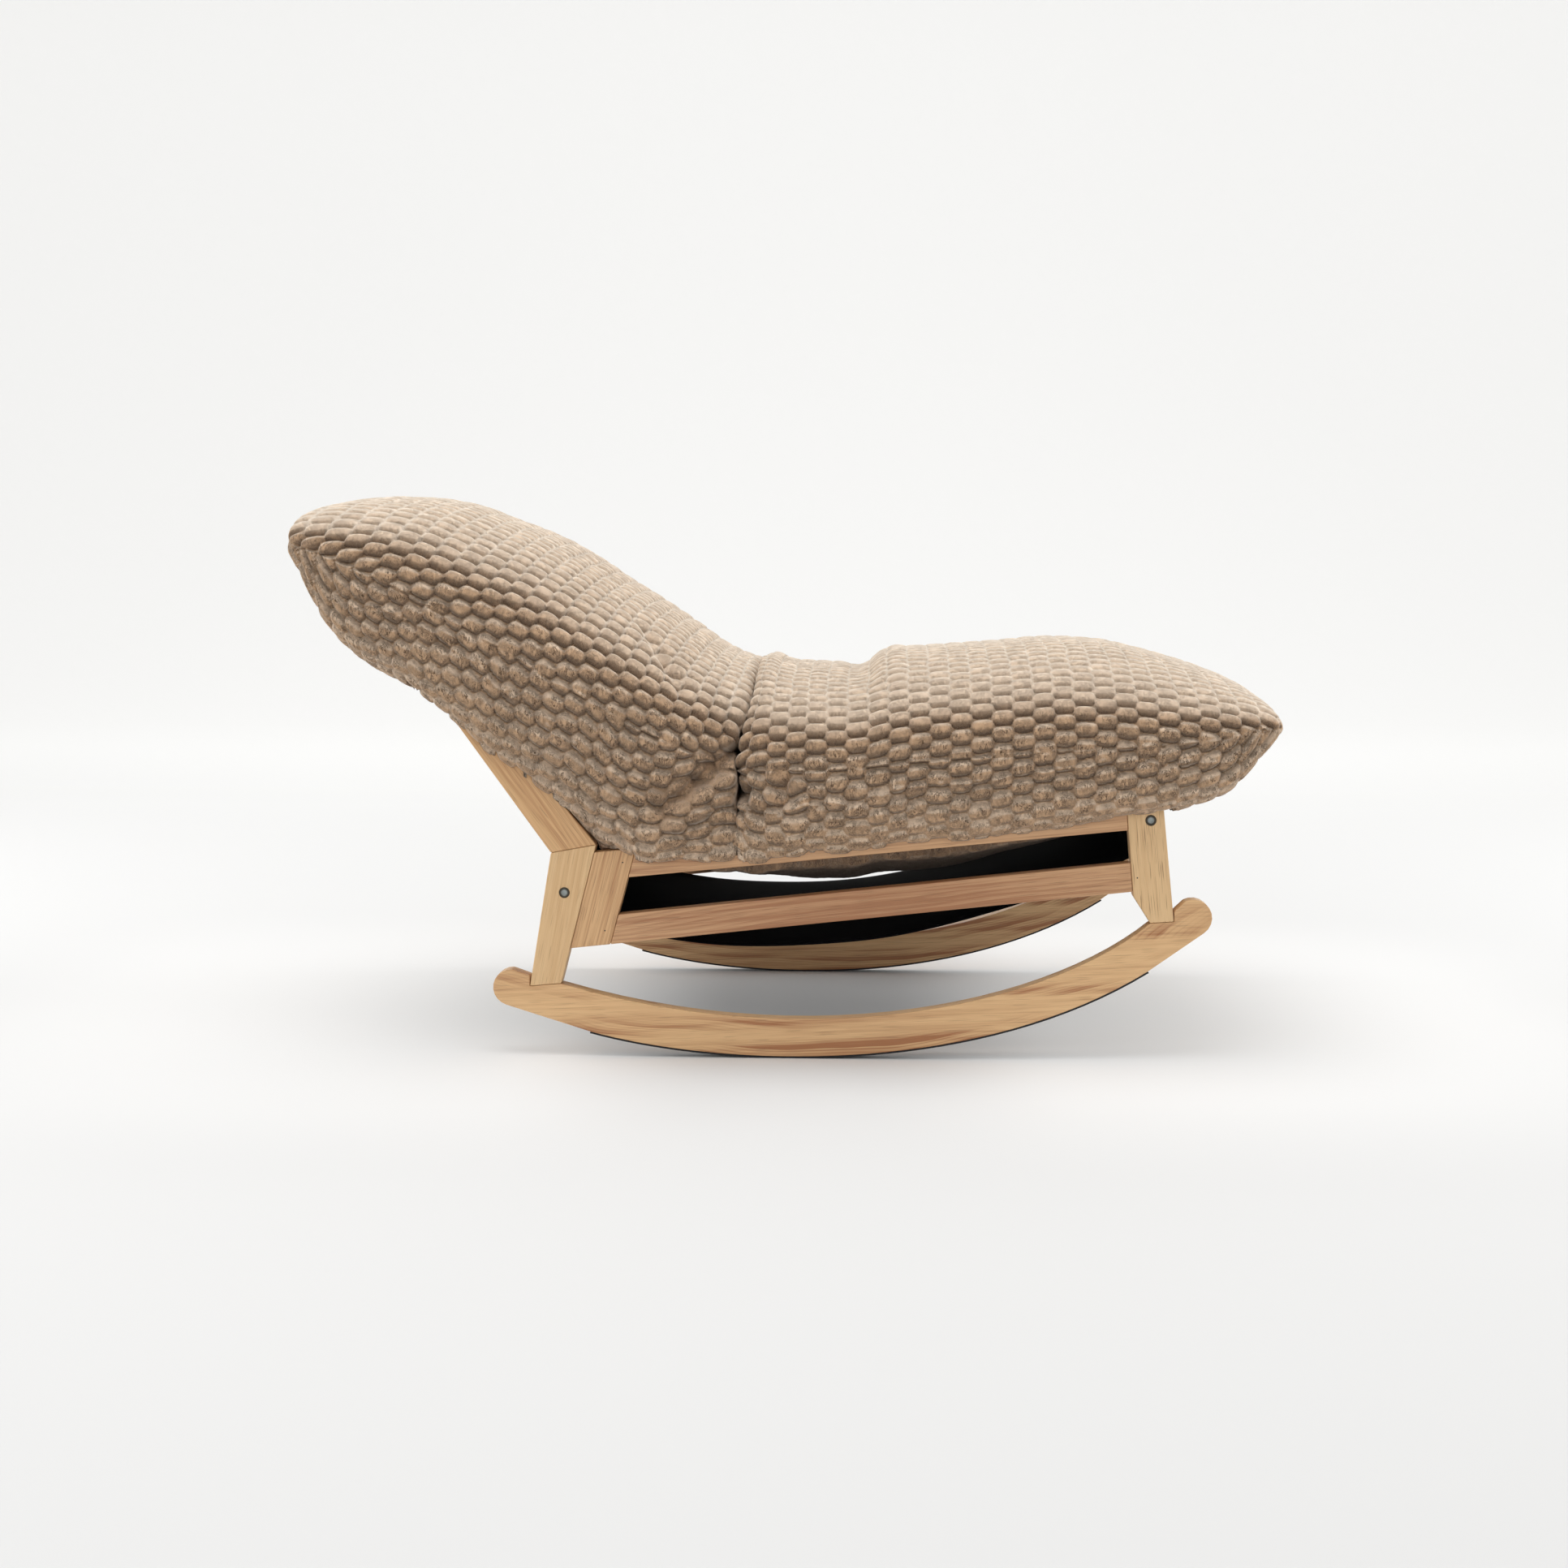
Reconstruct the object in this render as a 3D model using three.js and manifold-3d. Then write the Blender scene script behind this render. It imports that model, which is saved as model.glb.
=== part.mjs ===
// Rocking lounge chair: two bent-runner side frames in light hardwood, three cross members,
// a black cloth sling and a thick two-part plush cushion that lies on the rails.
// Millimetres. +X is the sitter's front, +Z is up, the floor is Z = 0.
import * as THREE from "three";
import { mergeVertices } from "three/addons/utils/BufferGeometryUtils.js";
import Module from "manifold-3d";

const wasm = await Module();
wasm.setup();
const degree = Math.PI / 180;

// Overall sizes
const frameWidth = 600;
const boardThickness = 22;
const seam = 0.3; // gap left where two pieces touch
const overrun = 4; // how far a cutting tool runs past the face it cuts

// Runners: a rolling curve that touches the floor, straight heels and two round horns
const rollRearX = -231;
const rollRearRise = 28;
const rollFrontX = 433.5;
const rollFrontRise = 106.4;
const rollRearSlope = 15 * degree;
const rollFrontSlope = 32.5 * degree;
const rollRearHandleShare = 0.242; // of the rolling curve's span
const rollFrontHandleShare = 0.367;
const hornRadius = 22;
const rearHornX = -325;
const rearHornZ = 83;
const frontHornX = 484.5;
const frontHornZ = 172.5;
const rearHornEnd = 88 * degree; // where each horn's arc meets its notch
const frontHornEnd = 118 * degree;
const notchDepth = 12.5; // the horns stand this much above the feet of the legs
const runnerTopRearSlope = 16 * degree;
const runnerTopFrontSlope = 40 * degree;
const runnerTopRearHandleShare = 0.45; // of the top edge's span
const runnerTopFrontHandleShare = 0.22;
const stripThickness = 2; // black anti-slip strip under the rolling curve
const stripWidth = 18;

// Rear legs
const rearFootX = -302.4;
const rearFootZ = 85.1;
const rearFootWidth = 38;
const rearFootSlope = 5 * degree;
const rearLegBackLean = 9.4 * degree;
const rearLegFrontLean = 14.4 * degree;
const rearLegHeight = 160.4; // foot to the joint with the back post
const postSeamSlope = 10.5 * degree;

// Back posts
const postLean = 54.2 * degree; // from the floor
const postLength = 292;
const postTopWidth = 31;
const postBendLength = 38; // the soft bend between leg and post

// Front legs
const frontFootX = 433.9;
const frontFootZ = 166.1;
const frontFootWidth = 27.8;
const frontFootSlope = 4 * degree;
const frontLegBackLean = 4.8 * degree;
const frontLegFrontLean = 5.9 * degree;
const frontChamferWidth = 20.5;
const frontChamferHeight = 32.1;

// Side rails and the stile that carries their rear ends
const stileWidth = 46;
const stileLean = 15 * degree;
const upperRailTopZ = 251.7; // on the line of the stile's front edge
const upperRailSlope = 5.74 * degree;
const upperRailHeight = 34;
const lowerRailBottomZ = 136.2;
const lowerRailSlope = 6.2 * degree;
const lowerRailHeight = 34.7;

// Cross members between the side frames
const crossRailThickness = 22;
const crossRailHeight = 62;
const frontRailDrop = 7; // the front rail's middle below its bolt
const topBarRadius = 13;
const topBarInset = 24; // from the post's top end to the bar's middle

// Fasteners
const boltShankRadius = 3;
const boltHeadRadius = 6.35;
const boltHeadHeight = 2.4;
const boltLength = 70;
const hexSocketRadius = 2.4;
const hexSocketDepth = 1.8;
const counterboreDepth = 2.4;
const boltClearance = 0.3;
const rearBoltRise = 113; // above the rear foot
const frontBoltRise = 122; // above the front foot
const frontBoltInset = 16.4; // from the front leg's front edge
const nutRadius = 5;
const nutLength = 15;
const nutFromRailEnd = 36;
const dowelRadius = 4;
const dowelLength = 40;
const dowelEndGap = 1;
const lowDowelRise = 28; // above the stile's lower end, along its seam with the rear leg
const highDowelDrop = 46; // below the rear leg's top, along the same seam

// Sling
const clothThickness = 2;
const slingSideGap = 28; // between the cloth's edges and the side boards
const seatSlingSag = 66;
const backSlingSag = 10;

// Cushions: both start at the crease and are shaped by the tables of shares further down
const creaseX = -57;
const cushionBaseZ = 180;
const cushionHeight = 320;
const cushionOverhang = 28; // beyond the outer face of each side frame
const seatCushionLength = 647;
const backCushionLength = 533;
const backCushionHeight = 500;
const creaseGap = 1.2;
const sideSeamDepth = 5; // the seam round the sides pulls the cover in

// Mesh fineness
const rollSteps = 34;
const runnerTopSteps = 26;
const hornSteps = 10;
const bendSteps = 6;
const slingSteps = 26;
const boltSides = 16;
const rodSides = 10;
const cushionGirthSteps = 36;

const innerHalf = frameWidth / 2 - boardThickness;
const outerHalf = frameWidth / 2;
const slingWidth = 2 * (innerHalf - slingSideGap);
const cushionHalfWidth = outerHalf + cushionOverhang;
const boardMiddle = innerHalf + boardThickness / 2;

const wood = (color) => new THREE.MeshStandardMaterial({ color, roughness: 0.55, metalness: 0 });
const runnerWood = () => wood(0xcfa574);
const legWood = () => wood(0xd9b486);
const railWood = () => wood(0xc79b6e);
const dowelWood = () => wood(0xe0c79c);
const blackRubber = () => new THREE.MeshStandardMaterial({ color: 0x17171a, roughness: 0.8, metalness: 0 });
const blackCloth = () => new THREE.MeshStandardMaterial({ color: 0x0c0c0f, roughness: 0.95, metalness: 0 });
const darkSteel = () => new THREE.MeshStandardMaterial({ color: 0x5b5a58, roughness: 0.35, metalness: 0.9 });
const plush = () => new THREE.MeshStandardMaterial({ color: 0xb39880, roughness: 1, metalness: 0 });

// Plane geometry in the side view: x along the chair, y standing for height
const point = (x, z) => new THREE.Vector2(x, z);
const along = (start, angle, distance) =>
  point(start.x + distance * Math.cos(angle), start.y + distance * Math.sin(angle));
const between = (a, b, share) => a.clone().lerp(b, share);

// Where the line through a at angleA meets the line through b at angleB
function meet(a, angleA, b, angleB) {
  const da = point(Math.cos(angleA), Math.sin(angleA));
  const db = point(Math.cos(angleB), Math.sin(angleB));
  const cross = da.x * db.y - da.y * db.x;
  const t = ((b.x - a.x) * db.y - (b.y - a.y) * db.x) / cross;
  return point(a.x + t * da.x, a.y + t * da.y);
}

// A row of points moved sideways, to the left of its direction
function offsetRow(row, distance) {
  return row.map((p, i) => {
    const before = row[Math.max(i - 1, 0)];
    const after = row[Math.min(i + 1, row.length - 1)];
    const direction = after.clone().sub(before).normalize();
    return point(p.x - direction.y * distance, p.y + direction.x * distance);
  });
}

function cubicRow(a, slopeA, handleA, b, slopeB, handleB, steps) {
  const curve = new THREE.CubicBezierCurve(a, along(a, slopeA, handleA), along(b, slopeB, -handleB), b);
  return curve.getPoints(steps);
}

function arcRow(centre, radius, from, to, steps) {
  const row = [];
  for (let i = 0; i <= steps; i++) row.push(along(centre, from + ((to - from) * i) / steps, radius));
  return row;
}

// Solids
function solidOf(geometry) {
  const bare = geometry.clone();
  bare.deleteAttribute("normal");
  bare.deleteAttribute("uv");
  const merged = mergeVertices(bare, 1e-4);
  const vertProperties = merged.attributes.position.array;
  return new wasm.Manifold(
    new wasm.Mesh({ numProp: 3, vertProperties, triVerts: new Uint32Array(merged.index.array) }),
  );
}

function geometryOf(solid) {
  const mesh = solid.getMesh();
  const geometry = new THREE.BufferGeometry();
  geometry.setAttribute("position", new THREE.BufferAttribute(mesh.vertProperties, 3));
  geometry.setIndex(new THREE.BufferAttribute(mesh.triVerts, 1));
  const faceted = geometry.toNonIndexed();
  faceted.computeVertexNormals();
  return faceted;
}

function cut(geometry, tools) {
  return geometryOf(tools.reduce((solid, tool) => solid.subtract(solidOf(tool)), solidOf(geometry)));
}

function join(geometries) {
  const [first, ...others] = geometries.map(solidOf);
  return geometryOf(others.reduce((solid, other) => solid.add(other), first));
}

// An outline in the side view, extruded from one Y to another
function board(outline, fromY, toY, holes = []) {
  const shape = new THREE.Shape(outline);
  for (const hole of holes) shape.holes.push(new THREE.Path(hole));
  const geometry = new THREE.ExtrudeGeometry(shape, { depth: toY - fromY, bevelEnabled: false });
  geometry.rotateX(Math.PI / 2);
  return geometry.translate(0, toY, 0);
}

// A round rod about a middle point, with its axis along a direction
function rod(radius, length, middle, direction, sides = rodSides) {
  const geometry = new THREE.CylinderGeometry(radius, radius, length, sides);
  const turn = new THREE.Quaternion().setFromUnitVectors(new THREE.Vector3(0, 1, 0), direction);
  return geometry.applyQuaternion(turn).translate(middle.x, middle.y, middle.z);
}

const chair = new THREE.Group();
const frame = new THREE.Group();
const cushions = new THREE.Group();
chair.add(frame, cushions);

function add(group, name, geometry, material) {
  const mesh = new THREE.Mesh(geometry, material);
  mesh.name = name;
  group.add(mesh);
}

// Corners of the side frame, shared by the pieces that meet there
const rearFoot = point(rearFootX, rearFootZ);
const rearFootFront = along(rearFoot, rearFootSlope, rearFootWidth);
const rearLegBackAngle = Math.PI / 2 - rearLegBackLean;
const rearLegFrontAngle = Math.PI / 2 - rearLegFrontLean;
const rearLegBackTop = along(rearFoot, rearLegBackAngle, rearLegHeight / Math.sin(rearLegBackAngle));
const rearLegFrontTop = meet(rearLegBackTop, postSeamSlope, rearFootFront, rearLegFrontAngle);

const frontFoot = point(frontFootX, frontFootZ);
const frontFootFront = along(frontFoot, frontFootSlope, frontFootWidth);
const frontLegBackAngle = Math.PI / 2 + frontLegBackLean;
const frontLegFrontAngle = Math.PI / 2 + frontLegFrontLean;
const frontChamferTop = point(frontFoot.x - frontChamferWidth, frontFoot.y + frontChamferHeight);

const stileBackFoot = along(rearFootFront, 0, seam / Math.sin(rearLegFrontAngle));
const stileFrontLine = point(stileBackFoot.x + stileWidth, stileBackFoot.y);
const stileAngle = Math.PI / 2 - stileLean;
const stileFrontBottom = meet(stileFrontLine, stileAngle, point(0, lowerRailBottomZ), 0);
const stileBackBottom = meet(stileBackFoot, rearLegFrontAngle, stileFrontBottom, lowerRailSlope);
const stileFrontTop = meet(stileFrontBottom, stileAngle, point(0, upperRailTopZ), 0);
const stileBackTop = meet(stileBackFoot, rearLegFrontAngle, stileFrontTop, upperRailSlope);
const frontLegBackTop = meet(frontChamferTop, frontLegBackAngle, stileFrontTop, upperRailSlope);
const frontLegFrontTop = meet(frontFootFront, frontLegFrontAngle, stileFrontTop, upperRailSlope);

const rearBolt = meet(
  between(rearFoot, rearFootFront, 1 / 2),
  (rearLegBackAngle + rearLegFrontAngle) / 2,
  point(0, rearFootZ + rearBoltRise),
  0,
);
const frontBoltEdge = meet(frontFootFront, frontLegFrontAngle, point(0, frontFootZ + frontBoltRise), 0);
const frontBolt = point(frontBoltEdge.x - frontBoltInset, frontBoltEdge.y);
const rearRailAngle = (rearLegBackAngle + rearLegFrontAngle) / 2;
const frontRailAngle = (frontLegBackAngle + frontLegFrontAngle) / 2;
const frontRailMiddle = along(frontBolt, frontRailAngle, -frontRailDrop);

const postAngle = Math.PI - postLean;
const postSeamLift = seam / Math.cos(postSeamSlope);
const postBackFoot = point(rearLegBackTop.x, rearLegBackTop.y + postSeamLift);
const postFrontFoot = point(rearLegFrontTop.x, rearLegFrontTop.y + postSeamLift);
const postBendEnd = along(postBackFoot, postAngle, postBendLength);
const postBackTop = along(postBackFoot, postAngle, postLength);
const postFrontTop = along(postBackTop, postAngle - Math.PI / 2, postTopWidth);
const topBolt = along(between(postBackTop, postFrontTop, 1 / 2), postAngle, -topBarInset);

// Dowel joints: a middle point on the seam and the direction across it
const acrossLeg = rearLegFrontAngle - Math.PI / 2;
const upperRailRear = along(stileFrontTop, stileAngle, -upperRailHeight / 2);
const lowerRailRear = along(stileFrontBottom, stileAngle, lowerRailHeight / 2);
const upperRailFront = along(frontLegBackTop, frontLegBackAngle, -upperRailHeight / 2);
const lowerRailFront = meet(lowerRailRear, lowerRailSlope, frontChamferTop, frontLegBackAngle);
const dowels = {
  rear_foot: [between(rearFoot, rearFootFront, 1 / 2), rearRailAngle],
  front_foot: [between(frontFoot, frontFootFront, 1 / 2), frontRailAngle],
  back_post: [between(rearLegBackTop, rearLegFrontTop, 1 / 2), postSeamSlope + Math.PI / 2],
  stile_low: [along(stileBackBottom, rearLegFrontAngle, lowDowelRise), acrossLeg],
  stile_high: [along(rearLegFrontTop, rearLegFrontAngle, -highDowelDrop), acrossLeg],
  upper_rail_rear: [upperRailRear, upperRailSlope],
  lower_rail_rear: [lowerRailRear, lowerRailSlope],
  upper_rail_front: [upperRailFront, upperRailSlope],
  lower_rail_front: [lowerRailFront, lowerRailSlope],
};

function dowelRod(name, radius, length) {
  const [place, angle] = dowels[name];
  const direction = new THREE.Vector3(Math.cos(angle), 0, Math.sin(angle));
  return rod(radius, length, new THREE.Vector3(place.x, boardMiddle, place.y), direction);
}
const dowelBore = (name) => dowelRod(name, dowelRadius + seam, dowelLength + 2 * dowelEndGap);

// A bolt's hole through a board, with the pocket for its head in the outer face
function boltHole(place) {
  const across = new THREE.Vector3(0, 1, 0);
  const shank = rod(
    boltShankRadius + boltClearance,
    boardThickness + 2 * overrun,
    new THREE.Vector3(place.x, boardMiddle, place.y),
    across,
    boltSides,
  );
  const pocket = rod(
    boltHeadRadius + boltClearance,
    counterboreDepth + overrun,
    new THREE.Vector3(place.x, outerHalf + (overrun - counterboreDepth) / 2, place.y),
    across,
    boltSides,
  );
  return [shank, pocket];
}

// Runner with its two notches, and the strip glued under the rolling curve
function rollingRow() {
  const a = point(rollRearX, rollRearRise);
  const b = point(rollFrontX, rollFrontRise);
  const span = rollFrontX - rollRearX;
  const rearHandle = rollRearHandleShare * span;
  const frontHandle = rollFrontHandleShare * span;
  return cubicRow(a, -rollRearSlope, rearHandle, b, rollFrontSlope, frontHandle, rollSteps);
}
const floorRow = rollingRow();
const stripTopRow = offsetRow(floorRow, stripThickness);
const runnerBottomRow = offsetRow(floorRow, stripThickness + seam);

// Angle from a horn's middle to the point where the straight heel touches it
function heelAngle(centre, end, side) {
  const gap = end.clone().sub(centre);
  return gap.angle() + side * Math.acos(hornRadius / gap.length());
}

function runnerOutline() {
  const rearSeat = point(rearFoot.x - seam, rearFoot.y - seam);
  const rearSeatFront = point(rearFootFront.x, rearFootFront.y - seam);
  const frontSeat = point(frontFoot.x, frontFoot.y - seam);
  const frontSeatFront = point(frontFootFront.x + seam, frontFootFront.y - seam);
  const topSpan = frontSeat.x - rearSeatFront.x;
  const top = cubicRow(
    rearSeatFront,
    -runnerTopRearSlope,
    runnerTopRearHandleShare * topSpan,
    frontSeat,
    runnerTopFrontSlope,
    runnerTopFrontHandleShare * topSpan,
    runnerTopSteps,
  );
  const rearHorn = point(rearHornX, rearHornZ);
  const frontHorn = point(frontHornX, frontHornZ);
  const frontHeel = heelAngle(frontHorn, runnerBottomRow.at(-1), 1) - 2 * Math.PI;
  const rearHeel = heelAngle(rearHorn, runnerBottomRow[0], -1) - 2 * Math.PI;
  return [
    rearSeat,
    ...top,
    frontSeatFront,
    point(frontSeatFront.x, frontSeatFront.y + notchDepth),
    ...arcRow(frontHorn, hornRadius, frontHornEnd, frontHeel, hornSteps),
    ...[...runnerBottomRow].reverse(),
    ...arcRow(rearHorn, hornRadius, rearHeel, rearHornEnd - 2 * Math.PI, hornSteps),
    point(rearSeat.x, rearSeat.y + notchDepth),
  ].reverse();
}

function rearLegOutline() {
  const bend = along(rearLegBackTop, rearLegBackAngle, -postBendLength / 2);
  return [rearFoot, rearFootFront, rearLegFrontTop, rearLegBackTop, bend];
}

function backPostOutline() {
  const corner = meet(postBackFoot, Math.PI / 2, postBendEnd, postAngle);
  const bend = new THREE.QuadraticBezierCurve(postBendEnd, corner, postBackFoot).getPoints(bendSteps);
  return [postFrontFoot, postFrontTop, postBackTop, ...bend];
}

function rearStileOutline() {
  return [stileBackBottom, stileFrontBottom, stileFrontTop, stileBackTop];
}

// A rail between the stile and the front leg, a seam's width from both
function railOutline(rearTop, slope, height) {
  const rearStart = point(rearTop.x + seam / Math.sin(stileAngle), rearTop.y);
  const rearBottom = point(rearTop.x, rearTop.y - height);
  const legLine = point(frontChamferTop.x - seam, frontChamferTop.y);
  return [
    meet(rearBottom, slope, rearStart, stileAngle),
    meet(rearBottom, slope, legLine, frontLegBackAngle),
    meet(rearTop, slope, legLine, frontLegBackAngle),
    meet(rearTop, slope, rearStart, stileAngle),
  ];
}
const lowerRailTopRear = meet(
  point(stileFrontBottom.x, stileFrontBottom.y + lowerRailHeight),
  lowerRailSlope,
  stileFrontBottom,
  stileAngle,
);

function frontLegOutline() {
  return [frontFoot, frontFootFront, frontLegFrontTop, frontLegBackTop, frontChamferTop];
}

function boltGeometry(place) {
  const headTop = outerHalf - counterboreDepth + seam + boltHeadHeight;
  const headSeat = outerHalf - counterboreDepth + seam;
  const profile = [
    point(0, headTop - boltLength),
    point(boltShankRadius, headTop - boltLength),
    point(boltShankRadius, headSeat),
    point(boltHeadRadius, headSeat),
    point(boltHeadRadius, headTop - boltHeadHeight / 3),
    point(boltHeadRadius - boltHeadHeight / 3, headTop),
    point(0, headTop),
  ];
  const lathe = new THREE.LatheGeometry(profile, boltSides).translate(place.x, 0, place.y);
  const socket = new THREE.CylinderGeometry(hexSocketRadius, hexSocketRadius, hexSocketDepth + overrun, 6);
  socket.translate(place.x, headTop + (overrun - hexSocketDepth) / 2, place.y);
  return cut(lathe, [socket]);
}

// A barrel nut lies across its rail and is open for the bolt
const railEndY = innerHalf - seam;
const nutY = railEndY - nutFromRailEnd;
const acrossRail = (angle) => new THREE.Vector3(Math.sin(angle), 0, -Math.cos(angle));

function nutGeometry(place, angle) {
  const middle = new THREE.Vector3(place.x, nutY, place.y);
  const body = rod(nutRadius, nutLength, middle, acrossRail(angle), rodSides);
  const bore = rod(
    boltShankRadius + boltClearance,
    2 * (nutRadius + overrun),
    middle,
    new THREE.Vector3(0, 1, 0),
    boltSides,
  );
  return cut(body, [bore]);
}

function sideFrame(side) {
  const group = new THREE.Group();
  const put = (name, geometry, material) => add(group, side + "_" + name, geometry, material);
  const stripInset = (boardThickness - stripWidth) / 2;

  put(
    "runner",
    cut(board(runnerOutline(), innerHalf, outerHalf), [dowelBore("rear_foot"), dowelBore("front_foot")]),
    runnerWood(),
  );
  put(
    "runner_strip",
    board([...floorRow, ...[...stripTopRow].reverse()], innerHalf + stripInset, outerHalf - stripInset),
    blackRubber(),
  );
  put(
    "rear_leg",
    cut(board(rearLegOutline(), innerHalf, outerHalf), [
      ...boltHole(rearBolt),
      dowelBore("rear_foot"),
      dowelBore("back_post"),
      dowelBore("stile_low"),
      dowelBore("stile_high"),
    ]),
    legWood(),
  );
  put(
    "back_post",
    cut(board(backPostOutline(), innerHalf, outerHalf), [...boltHole(topBolt), dowelBore("back_post")]),
    legWood(),
  );
  put(
    "rear_stile",
    cut(board(rearStileOutline(), innerHalf, outerHalf), [
      dowelBore("stile_low"),
      dowelBore("stile_high"),
      dowelBore("upper_rail_rear"),
      dowelBore("lower_rail_rear"),
    ]),
    legWood(),
  );
  put(
    "upper_side_rail",
    cut(board(railOutline(stileFrontTop, upperRailSlope, upperRailHeight), innerHalf, outerHalf), [
      dowelBore("upper_rail_rear"),
      dowelBore("upper_rail_front"),
    ]),
    railWood(),
  );
  put(
    "lower_side_rail",
    cut(board(railOutline(lowerRailTopRear, lowerRailSlope, lowerRailHeight), innerHalf, outerHalf), [
      dowelBore("lower_rail_rear"),
      dowelBore("lower_rail_front"),
    ]),
    railWood(),
  );
  put(
    "front_leg",
    cut(board(frontLegOutline(), innerHalf, outerHalf), [
      ...boltHole(frontBolt),
      dowelBore("front_foot"),
      dowelBore("upper_rail_front"),
      dowelBore("lower_rail_front"),
    ]),
    legWood(),
  );
  for (const name of Object.keys(dowels)) {
    put(name + "_dowel", dowelRod(name, dowelRadius, dowelLength), dowelWood());
  }
  for (const [name, place, angle] of [
    ["rear_rail", rearBolt, rearRailAngle],
    ["front_rail", frontBolt, frontRailAngle],
    ["top_bar", topBolt, postAngle],
  ]) {
    put(name + "_bolt", boltGeometry(place), darkSteel());
    put(name + "_nut", nutGeometry(place, angle), darkSteel());
  }
  return group;
}

const leftSide = sideFrame("left");
const rightSide = sideFrame("right");
rightSide.scale.y = -1;
frame.add(leftSide, rightSide);

// Holes in both ends of a cross member for its bolts and barrel nuts
function fastenerHoles(place, angle, pocketDepth) {
  return [-1, 1].flatMap((side) => {
    const shankDepth = boltLength - boardThickness + overrun;
    const shank = rod(
      boltShankRadius + boltClearance,
      shankDepth + overrun,
      new THREE.Vector3(place.x, side * (railEndY - (shankDepth - overrun) / 2), place.y),
      new THREE.Vector3(0, 1, 0),
      boltSides,
    );
    const pocketLength = pocketDepth + nutLength / 2;
    const pocket = rod(nutRadius + seam, pocketLength, new THREE.Vector3(), acrossRail(angle), rodSides);
    const shift = acrossRail(angle).multiplyScalar((pocketLength - nutLength) / 2 - seam);
    pocket.translate(place.x + shift.x, side * nutY, place.y + shift.z);
    return [shank, pocket];
  });
}

// A rectangle about a middle point, with its long side at an angle
function slab(middle, angle, length, thickness) {
  const a = along(along(middle, angle, -length / 2), angle - Math.PI / 2, thickness / 2);
  const b = along(a, angle, length);
  const c = along(b, angle + Math.PI / 2, thickness);
  return [a, b, c, along(c, angle, -length)];
}

const railPocket = crossRailThickness / 2 + overrun;
for (const [name, bolt, middle, angle] of [
  ["rear_rail", rearBolt, rearBolt, rearRailAngle],
  ["front_rail", frontBolt, frontRailMiddle, frontRailAngle],
]) {
  const rail = board(slab(middle, angle, crossRailHeight, crossRailThickness), -railEndY, railEndY);
  add(frame, name, cut(rail, fastenerHoles(bolt, angle, railPocket)), railWood());
}
const topBar = rod(
  topBarRadius,
  2 * railEndY,
  new THREE.Vector3(topBolt.x, 0, topBolt.y),
  new THREE.Vector3(0, 1, 0),
  boltSides,
);
add(frame, "top_bar", cut(topBar, fastenerHoles(topBolt, postAngle, topBarRadius + overrun)), railWood());

// Cloth: a sleeve round each cross member and a strip of cloth between the sleeves
function sleeve(middle, angle, length, thickness) {
  const inner = slab(middle, angle, length + 2 * seam, thickness + 2 * seam);
  const grow = 2 * (seam + clothThickness);
  const outer = slab(middle, angle, length + grow, thickness + grow);
  return board(outer, -slingWidth / 2, slingWidth / 2, [inner]);
}

function hangingRow(start, end, sag) {
  const row = [];
  for (let i = 0; i <= slingSteps; i++) {
    const t = i / slingSteps;
    const p = between(start, end, t);
    row.push(point(p.x, p.y - 4 * sag * t * (1 - t)));
  }
  return row;
}

function clothStrip(row) {
  const half = clothThickness / 2;
  const outline = [...offsetRow(row, -half), ...offsetRow(row, half).reverse()];
  return board(outline, -slingWidth / 2, slingWidth / 2);
}

const clothInset = seam + clothThickness / 2;
const sleeveHalfHeight = crossRailHeight / 2 + clothInset;
const sleeveHalfThickness = crossRailThickness / 2 + clothInset;
const sleeveCorner = (middle, angle, up, front) =>
  along(along(middle, angle, up * sleeveHalfHeight), angle - Math.PI / 2, front * sleeveHalfThickness);
const seatRow = hangingRow(
  sleeveCorner(rearBolt, rearRailAngle, -1, 1),
  sleeveCorner(frontRailMiddle, frontRailAngle, -1, -1),
  seatSlingSag,
);
const rearSleeve = sleeve(rearBolt, rearRailAngle, crossRailHeight, crossRailThickness);
const frontSleeve = sleeve(frontRailMiddle, frontRailAngle, crossRailHeight, crossRailThickness);
add(frame, "seat_sling", join([rearSleeve, clothStrip(seatRow), frontSleeve]), blackCloth());

const barSleeveRadius = topBarRadius + seam + clothThickness;
const barSleeve = board(
  arcRow(topBolt, barSleeveRadius, 0, 2 * Math.PI, boltSides).slice(1),
  -slingWidth / 2,
  slingWidth / 2,
  [arcRow(topBolt, topBarRadius + 2 * seam, 0, 2 * Math.PI, boltSides).slice(1)],
);
const backSlingEnd = along(
  sleeveCorner(rearBolt, rearRailAngle, 1, 1),
  rearRailAngle,
  clothThickness + seam,
);
const backRow = hangingRow(
  along(topBolt, postAngle - Math.PI / 2, topBarRadius + clothInset),
  backSlingEnd,
  backSlingSag,
);
add(frame, "back_sling", join([barSleeve, clothStrip(backRow)]), blackCloth());

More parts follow.
